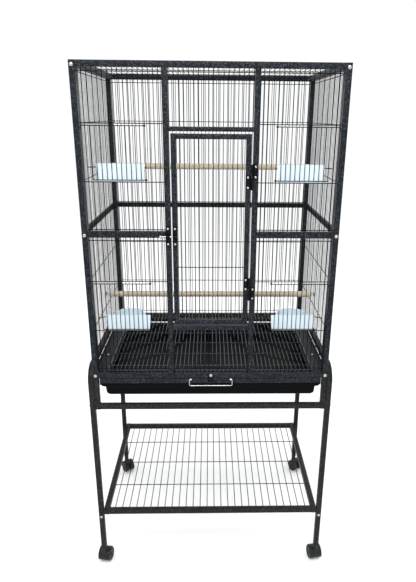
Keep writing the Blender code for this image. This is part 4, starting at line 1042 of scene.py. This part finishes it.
class CAGE_OT_grate(CagePiece, Operator):
    """Build the lift-out floor grate and finish the ledges it lies on"""
    bl_idname = "cage.grate"
    bl_label = "Floor grate"

    def build(self):
        sizes = self.sizes
        low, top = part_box("floor_grate")
        radius, border = sizes.wire / 2, 0.002
        bm = bmesh.new()
        z = low.z + border
        x, y = top.x - border, top.y - border
        frame_path = [(0, -y, z), (x, -y, z), (x, y, z), (-x, y, z), (-x, -y, z), (-0.0001, -y, z)]
        wire(bm, eased(frame_path, 0.010, 6), border, 12)
        cross_z = top.z - radius - 0.0002
        wire_z = cross_z - 2 * radius + 0.0003
        for place in wire_places(x - border, sizes.pitch, sizes.wire):
            self.strand(bm, (place, -y, wire_z), (place, y, wire_z), 0.0004, sizes.wire)
        for place in wire_places(y - border, 0.100, sizes.wire):
            wire(bm, ((-x, place, cross_z), (x, place, cross_z)), radius)
        grate = place_piece("floor_grate_wires", bm, "wire_steel", "grate", ("floor_grate",))
        # Its wires take the lighter copy of the wire coat: painted light from above.
        grate.data.materials[0] = bpy.data.materials["grate_steel_finish"]
        for label, _ in SIDES:
            for node in (f"{label}_grate_ledge", f"{label}_tray_runner"):
                carry_over(node, "frame_steel", 0.0005)


def carry_over(node, slot, edge):
    """Give a solid of the frame its finish and eased edges."""
    piece = frame["nodes"][node]
    piece.data.materials.clear()
    piece.data.materials.append(bpy.data.materials[f"{slot}_finish"])
    bevel = piece.modifiers.new("Eased edges", "BEVEL")
    bevel.width = edge
    bevel.segments = 2
    bevel.limit_method = "ANGLE"
    bevel.harden_normals = True


class CAGE_OT_tray(CagePiece, Operator):
    """Form the pull-out tray with its front bar, bail handle and turning lock"""
    bl_idname = "cage.tray"
    bl_label = "Tray"

    def build(self):
        self.pan()
        self.front_bar()
        self.bail()
        self.lock()

    def pan(self):
        """A deep tray: upright rim, a ledge, then sloped sides with an eased base."""
        low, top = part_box("tray_pan")
        wall = self.sizes.tray_wall
        half_x, half_y, centre_y = top.x, (top.y - low.y) / 2, (top.y + low.y) / 2
        rim_z = top.z - 0.012
        profile = [(0.0004, top.z), (0.0, top.z - 0.0006), (0.0, rim_z + 0.0015), (0.0006, rim_z + 0.0004),
                   (0.0020, rim_z), (0.0070, rim_z - 0.0003), (0.0090, rim_z - 0.0014), (0.0100, rim_z - 0.0035),
                   (0.0120, rim_z - 0.0110), (0.0136, low.z + 0.0110), (0.0146, low.z + 0.0070),
                   (0.0166, low.z + 0.0036), (0.0190, low.z + 0.0012), (0.0225, low.z)]
        outer = [self.ring(half_x - inset, half_y - inset, 0.012, z, centre_y) for inset, z in profile]
        inside = [(inset + wall, max(z, low.z) + (wall if z < rim_z + 0.002 else 0.0)) for inset, z in profile[1:]]
        inner = [self.ring(half_x - inset, half_y - inset, 0.011, z, centre_y) for inset, z in reversed(inside)]
        inner[-1] = self.ring(half_x - wall, half_y - wall, 0.011, top.z - 0.0006, centre_y)
        inner.append(self.ring(half_x - wall + 0.0004, half_y - wall + 0.0004, 0.011, top.z, centre_y))
        bm = bmesh.new()
        vessel(bm, outer, inner)
        place_piece("tray_pan_formed", bm, "tray_plastic", "tray", ("tray_pan",), 40.0)

    def ring(self, half_x, half_y, radius, z, centre_y):
        return [(a, centre_y + b, z) for a, b in rounded(2 * half_x, 2 * half_y, radius, 8)]

    def front_bar(self):
        """The bar along the tray's front, notched behind the lock, with two lugs for the bail."""
        low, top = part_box("tray_front_bar")
        notch_x, notch_y, notch_z = 0.0105, FRONT_Y + 0.008, 0.7955
        back_y, bar_top = FRONT_Y + TUBE * 0.6, low.z + 0.018
        z, deep = (low.z + bar_top) / 2, back_y - FRONT_Y
        bm = bmesh.new()
        for side in (-1, 1):
            rail(bm, side * notch_x, side * top.x, FRONT_Y + deep / 2, z, bar_top - low.z, deep, 0.0016)
        inset, reach = 0.0002, notch_x + 0.001
        for start_y, end_z in ((notch_y, bar_top - inset), (FRONT_Y + inset, notch_z)):
            block(bm, (-reach, start_y, low.z + inset), (reach, back_y - inset, end_z), 0.0006, 0)
        pos = SWING["tray_handle_swing"]["pos_m"]
        bail_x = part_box("tray_handle")[1].x
        for side in (-1, 1):
            x = side * (bail_x - 0.0065)
            lug = bmesh.new()
            turned(lug, (x - 0.0026, pos[1], pos[2]), (1, 0, 0),
                   ((0.0, 0.0022), (0.0, 0.0030), (0.0052, 0.0030), (0.0052, 0.0022)), 24, closed=True)
            block(lug, (x - 0.0026, pos[1] + 0.0022, pos[2] - 0.0029),
                  (x + 0.0026, FRONT_Y + 0.0006, pos[2] + 0.0029), 0.0004, 0)
            place_piece("bail_lug_" + ("left" if side < 0 else "right"), lug, "zinc", "tray")
        place_piece("tray_front_bar_tube", bm, "frame_steel", "tray", ("tray_front_bar",))

    def bail(self):
        """The bent handle, with its ends turned in through the lugs."""
        low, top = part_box("tray_handle")
        radius = 0.0016
        y, pivot_z = SWING["tray_handle_swing"]["pos_m"][1:]
        half, drop = top.x - radius, low.z + radius
        stub = half - 0.0076
        path = [(x, y, z) for x, z in ((-stub, pivot_z), (-half, pivot_z), (-half, drop), (half, drop),
                                       (half, pivot_z), (stub, pivot_z))]
        bm = bmesh.new()
        wire(bm, eased(path, 0.0045, 6), radius, 14)
        place_piece("tray_bail_wire", bm, "zinc", "tray_bail", ("tray_handle",))

    def lock(self):
        """A plate with a round top that hangs on one screw."""
        low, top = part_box("tray_lock")
        x, _, pivot_z = SWING["tray_lock_turn"]["pos_m"]
        half, low_half = (top.x - low.x) / 2, (top.x - low.x) * 0.36
        outline = [(half * c, top.y, pivot_z + half * 0.9 * s) for c, s in half_circle(16)]
        foot = [(low_half - 0.0012, 0.0), (low_half, 0.0012), (low_half + 0.0006, 0.004)]
        outline += [(side * a, top.y, low.z + up) for side, points in ((-1, foot[::-1]), (1, foot))
                    for a, up in points]
        bm = bmesh.new()
        sheet(bm, outline, (0, 0, 0), (0, low.y - top.y, 0), 0.0003)
        place_piece("tray_lock_plate", bm, "hinge_black", "tray_lock_plate", ("tray_lock",))
        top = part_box("tray_lock_screw")[1]
        bm = bmesh.new()
        screw(bm, (x, top.y - 0.0021, pivot_z), (0, -1, 0), 0.011, 35)
        turned(bm, (x, top.y, pivot_z), (0, -1, 0),
               ((0.0, 0.0015), (0.0001, 0.0019), (0.0022, 0.0019), (0.0024, 0.0012)), 20)
        place_piece("tray_lock_screw_turned", bm, "zinc", "cage", ("tray_lock_screw",))


class CAGE_OT_stand(CagePiece, Operator):
    """Bend the stand's arches and weld its bridges"""
    bl_idname = "cage.stand"
    bl_label = "Stand"

    def build(self):
        corner = self.sizes.tube_corner * 1.2
        low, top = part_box("right_stand_arch")
        square = top.x - low.x
        leg_y, arch_z = top.y - square / 2, top.z - square / 2
        radius = ARCH_BEND - square / 2
        for label, side in SIDES:
            x = side * (low.x + top.x) / 2
            path = [(x, -leg_y, low.z), (x, -leg_y, low.z + 0.004), (x, -leg_y, arch_z - radius - 0.03)]
            for i in range(17):
                turn = math.pi / 2 * i / 16
                path.append((x, -leg_y + radius * (1 - math.cos(turn)), arch_z - radius * (1 - math.sin(turn))))
            path += [(px, -py, pz) for px, py, pz in reversed(path)]
            bm = bmesh.new()
            swept(bm, path, rounded(square, square, corner, 4), (1, 0, 0))
            place_piece(f"{label}_stand_arch_tube", bm, "stand_steel", "cage", (f"{label}_stand_arch",))
        for fore, deep in (("front", -1), ("rear", 1)):
            node = f"{fore}_bridge"
            low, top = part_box(node)
            bm = bmesh.new()
            y = (low.y + top.y) / 2
            for side in (-1, 1):
                upright(bm, side * POST_X, y, low.z, top.z, TUBE, TUBE, corner)
            rails = [(low.z + 0.0004, low.z + 0.020)] + ([(0.790, 0.807)] if deep > 0 else [])
            for rail_low, rail_top in rails:
                z = (rail_low + rail_top) / 2
                rail(bm, -POST_IN_X, POST_IN_X, y, z, rail_top - rail_low, TUBE - SLIM, corner)
                for side in (-1, 1):
                    self.bead(bm, side * POST_IN_X, rail_top, y - TUBE / 2, y + TUBE / 2)
            place_piece(f"{node}_tubes", bm, "stand_steel", "cage", (node,))


class CAGE_OT_shelf(CagePiece, Operator):
    """Weld the wire shelf low on the stand"""
    bl_idname = "cage.shelf"
    bl_label = "Shelf"

    def build(self):
        sizes = self.sizes
        low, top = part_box("stand_shelf")
        bar = top.z - low.z
        z = (low.z + top.z) / 2
        tubes, wires = bmesh.new(), bmesh.new()
        room_x, room_y = top.x - bar, top.y - bar
        for side in (-1, 1):
            x, y = side * (top.x - bar / 2), side * (top.y - bar / 2)
            tube(tubes, (x, low.y, z), (x, top.y, z), bar, bar, (0, 0, 1), sizes.tube_corner * 1.2)
            rail(tubes, -room_x, room_x, y, z, bar - SLIM, bar - SLIM, sizes.tube_corner * 1.2)
        wire_z = top.z - sizes.shelf_wire / 2 - 0.0004
        for x in wire_places(room_x, sizes.shelf_pitch, sizes.shelf_wire):
            self.strand(wires, (x, -room_y - LET_IN, wire_z), (x, room_y + LET_IN, wire_z),
                        0.0004, sizes.shelf_wire)
        cross_z = wire_z - sizes.shelf_wire + 0.0003
        for y in (-0.15, 0.0, 0.15):
            wire(wires, ((-room_x - LET_IN, y, cross_z), (room_x + LET_IN, y, cross_z)), sizes.shelf_wire / 2)
        place_piece("shelf_tubes", tubes, "stand_steel", "cage", ("stand_shelf",))
        place_piece("shelf_wires", wires, "stand_steel", "cage")


class CAGE_OT_casters(CagePiece, Operator):
    """Mould the four hooded twin-wheel casters"""
    bl_idname = "cage.casters"
    bl_label = "Casters"

    def build(self):
        for corner in CORNERS:
            joint = SWING[f"{corner}_wheel_spin"]
            axle = Vector(joint["pos_m"])
            turn = math.atan2(joint["axis"][1], joint["axis"][0])
            stem = Vector(SWING[f"{corner}_caster_swivel"]["pos_m"])
            place = Matrix.Translation(axle) @ Matrix.Rotation(turn, 4, "Z")
            neck = place.inverted() @ Vector((stem.x, stem.y, 0.0))
            self.hood(corner, place, neck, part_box(f"{corner}_caster_hood")[1].z)
            self.wheels(corner, place)

    def hood(self, corner, place, neck, top_z):
        """A curved cover over both wheels, a web between them and the stem's collar."""
        r_in, wall, half = 0.0265, 0.0022, 0.0235
        bm = bmesh.new()
        start, end, steps = math.radians(60), math.radians(195), 28
        rings = []
        shoulders = ((-half, 0.0011), (-half + 0.0005, 0.0004), (-half + 0.0016, 0.0), (-half + 0.006, 0.0))
        shoulders += tuple((-x, drop) for x, drop in reversed(shoulders))
        for x, drop in shoulders:
            arc = [(r_in + wall - drop, start + (end - start) * i / steps) for i in range(steps + 1)]
            arc += [(r_in, a) for _, a in reversed(arc)]
            rings.append([(x, r * math.cos(a), r * math.sin(a)) for r, a in arc])
        skin(bm, rings)
        web = [(r_in + 0.0008, start + (end - start) * i / steps) for i in range(steps + 1)]
        profile = [(r * math.cos(a), r * math.sin(a)) for r, a in web]
        profile += [(-0.010, -0.012), (0.0, -0.0145), (0.010, -0.012)]
        skin(bm, [[(x, y, z) for y, z in profile] for x in (-0.004, 0.004)])
        rise = top_z - place.translation.z
        turned(bm, (neck.x, neck.y, 0.0), (0, 0, 1),
               ((r_in * 0.7, 0.0095), (rise - 0.0115, 0.0095), (rise - 0.0105, 0.0088), (rise - 0.0090, 0.0088),
                (rise - 0.0080, 0.0095), (rise - 0.0006, 0.0095), (rise, 0.0090)), 32)
        bmesh.ops.transform(bm, matrix=place, verts=bm.verts)
        place_piece(f"{corner}_caster_hood_moulded", bm, "caster_plastic", f"{corner}_caster",
                    (f"{corner}_caster_hood",), 40.0)

    def wheels(self, corner, place):
        """Two wheels with a rounded tread, a dished face and a hub, on one spindle."""
        bm = bmesh.new()
        radius, inner, outer = 0.025, 0.0055, 0.0235
        for side in (-1, 1):
            profile = ((inner, 0.0030), (inner, radius - 0.0012), (inner + 0.0006, radius - 0.0003),
                       (inner + 0.0016, radius), (outer - 0.0026, radius),
                       (outer - 0.0010, radius - 0.0006), (outer - 0.0002, radius - 0.0020),
                       (outer, radius - 0.0034), (outer - 0.0003, radius - 0.0042), (outer - 0.0022, radius - 0.0050),
                       (outer - 0.0030, radius - 0.0075), (outer - 0.0030, 0.0090), (outer - 0.0024, 0.0080),
                       (outer - 0.0006, 0.0076), (outer - 0.0002, 0.0068), (outer, 0.0030))
            turned(bm, (0, 0, 0), (side, 0, 0), profile, 48, closed=True)
        turned(bm, (-outer + 0.0004, 0, 0), (1, 0, 0),
               ((0.0, 0.0020), (0.0006, 0.0031), (2 * outer - 0.0014, 0.0031), (2 * outer - 0.0008, 0.0020)), 24)
        bmesh.ops.transform(bm, matrix=place, verts=bm.verts)
        place_piece(f"{corner}_caster_wheels_moulded", bm, "caster_plastic", f"{corner}_wheels",
                    (f"{corner}_caster_wheels",), 40.0)


class CAGE_OT_screws(CagePiece, Operator):
    """Drive the screws and bolts that hold the panels and the stand together"""
    bl_idname = "cage.screws"
    bl_label = "Screws and bolts"

    def build(self):
        wide = self.sizes.frame_screw
        levels = (TOP_Z - 0.0125, MID_Z - 0.003, FLOOR_Z + 0.0095)
        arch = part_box("right_stand_arch")
        leg_x, out_x = centre(arch).x, arch[1].x
        bm = bmesh.new()
        shelf_z, arch_screw_z = 0.222, 0.699

        def drive(place, facing, width):
            screw(bm, place, facing, width, self.rng.uniform(0, 90))

        for side in (-1, 1):
            for z in levels:
                for facing, y in ((-1, FRONT_Y), (1, HALF_D)):
                    drive((side * POST_X, y, z), (0, facing, 0), wide)
            for facing in (-1, 1):
                drive((side * leg_x, facing * HALF_D, shelf_z), (0, facing, 0), wide * 0.95)
                drive((side * out_x, facing * (HALF_D - 0.0095), arch_screw_z), (side, 0, 0), wide * 0.95)
        ledge_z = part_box("left_grate_ledge")[1].z
        for side in (-1, 1):
            for y in (-0.15, 0.15):
                drive((side * (POST_IN_X - 0.0085), y, ledge_z), (0, 0, 1), wide * 0.8)
        place_piece("frame_screws", bm, "zinc", "cage")


class CAGE_OT_stage(CagePiece, Operator):
    """Set the pale floor, the soft lights and the camera"""
    bl_idname = "cage.stage"
    bl_label = "Stage"

    def build(self):
        self.floor()
        self.lights()
        self.camera()

    def floor(self):
        made, tree, shader, place = shader_tree("pale_floor")
        tint = tuple(self.colours.floor)
        clouds = noise(tree, place, 0.8)
        body = mixed(tree, clouds, tinted(tint, 0.99), tinted(tint, 1.01))
        tree.links.new(body, shader.inputs["Base Color"])
        shader.inputs["Roughness"].default_value = 0.8
        bm = bmesh.new()
        bmesh.ops.create_grid(bm, x_segments=8, y_segments=8, size=30.0)
        mesh = add_mesh("floor", bm)
        mesh.materials.append(made)
        add_object("floor", mesh)

    def lights(self):
        world = bpy.data.worlds.new("studio")
        world.use_nodes = True
        sky = world.node_tree.nodes["Background"].inputs
        sky["Color"].default_value = (0.98, 0.99, 1.0, 1.0)
        sky["Strength"].default_value = 1.06
        bpy.context.scene.world = world
        plan = (("key", (-0.6, -3.3, 3.3), 2.6, 40.0, 0.9), ("upper", (-0.1, -1.7, 2.9), 0.9, 36.0, 1.7),
                ("fill", (2.8, -1.6, 2.2), 2.0, 8.0, 0.9), ("top", (0.2, 0.4, 3.8), 2.6, 22.0, 0.9),
                ("rim", (0.6, 3.0, 2.6), 2.4, 14.0, 0.9))
        for name, where, size, power, aim_z in plan:
            light = bpy.data.lights.new(name, "AREA")
            light.shape, light.size, light.energy = "SQUARE", size, power
            lamp = add_object(name, light)
            lamp.location = where
            aim = Vector((0, 0, aim_z)) - Vector(where)
            lamp.rotation_euler = aim.to_track_quat("-Z", "Y").to_euler()

    def camera(self):
        lens = bpy.data.cameras.new("camera")
        lens.sensor_width = 36.0
        lens.lens = 33.14
        lens.shift_x, lens.shift_y = -0.0252, 0.0247
        camera = add_object("camera", lens)
        yaw, pitch, roll = -0.0257, -0.3406, -0.0094
        turn = Matrix.Rotation(yaw, 3, "Z") @ Matrix.Rotation(pitch, 3, "X") @ Matrix.Rotation(roll, 3, "Y")
        right, ahead, up = turn.col
        facing = Matrix((right, up, -ahead)).transposed().to_4x4()
        camera.matrix_world = Matrix.Translation((-0.004, -1.973, 1.6703)) @ facing
        bpy.context.scene.camera = camera
        bpy.context.scene.view_settings.view_transform = "Standard"


BUILDERS = (CAGE_OT_finishes, CAGE_OT_front_frame, CAGE_OT_panels, CAGE_OT_roof, CAGE_OT_front_wires,
            CAGE_OT_door, CAGE_OT_hinges, CAGE_OT_latch, CAGE_OT_feeder_doors, CAGE_OT_cups,
            CAGE_OT_hangers, CAGE_OT_perches, CAGE_OT_grate, CAGE_OT_tray, CAGE_OT_stand, CAGE_OT_shelf,
            CAGE_OT_casters, CAGE_OT_screws, CAGE_OT_stage)


class CAGE_PT_sidebar(Panel):
    """Lists the builders, sizes and colours"""
    bl_idname = "CAGE_PT_sidebar"
    bl_label = "Bird Cage"
    bl_space_type = "VIEW_3D"
    bl_region_type = "UI"
    bl_category = "Bird Cage"

    def draw(self, context):
        column = self.layout.column(align=True)
        for builder in BUILDERS:
            column.operator(builder.bl_idname)
        for group in (context.scene.cage_sizes, context.scene.cage_colours):
            column = self.layout.column(align=True)
            for name in group.__annotations__:
                column.prop(group, name)


CLASSES = (CageSizes, CageColours, *BUILDERS, CAGE_PT_sidebar)


def register():
    for cls in CLASSES:
        bpy.utils.register_class(cls)
    bpy.types.Scene.cage_sizes = PointerProperty(type=CageSizes)
    bpy.types.Scene.cage_colours = PointerProperty(type=CageColours)


def unregister():
    del bpy.types.Scene.cage_sizes
    del bpy.types.Scene.cage_colours
    for cls in reversed(CLASSES):
        bpy.utils.unregister_class(cls)


def main():
    register()
    for builder in BUILDERS:
        group, name = builder.bl_idname.split(".")
        getattr(getattr(bpy.ops, group), name)()


if __name__ == "__main__":
    main()
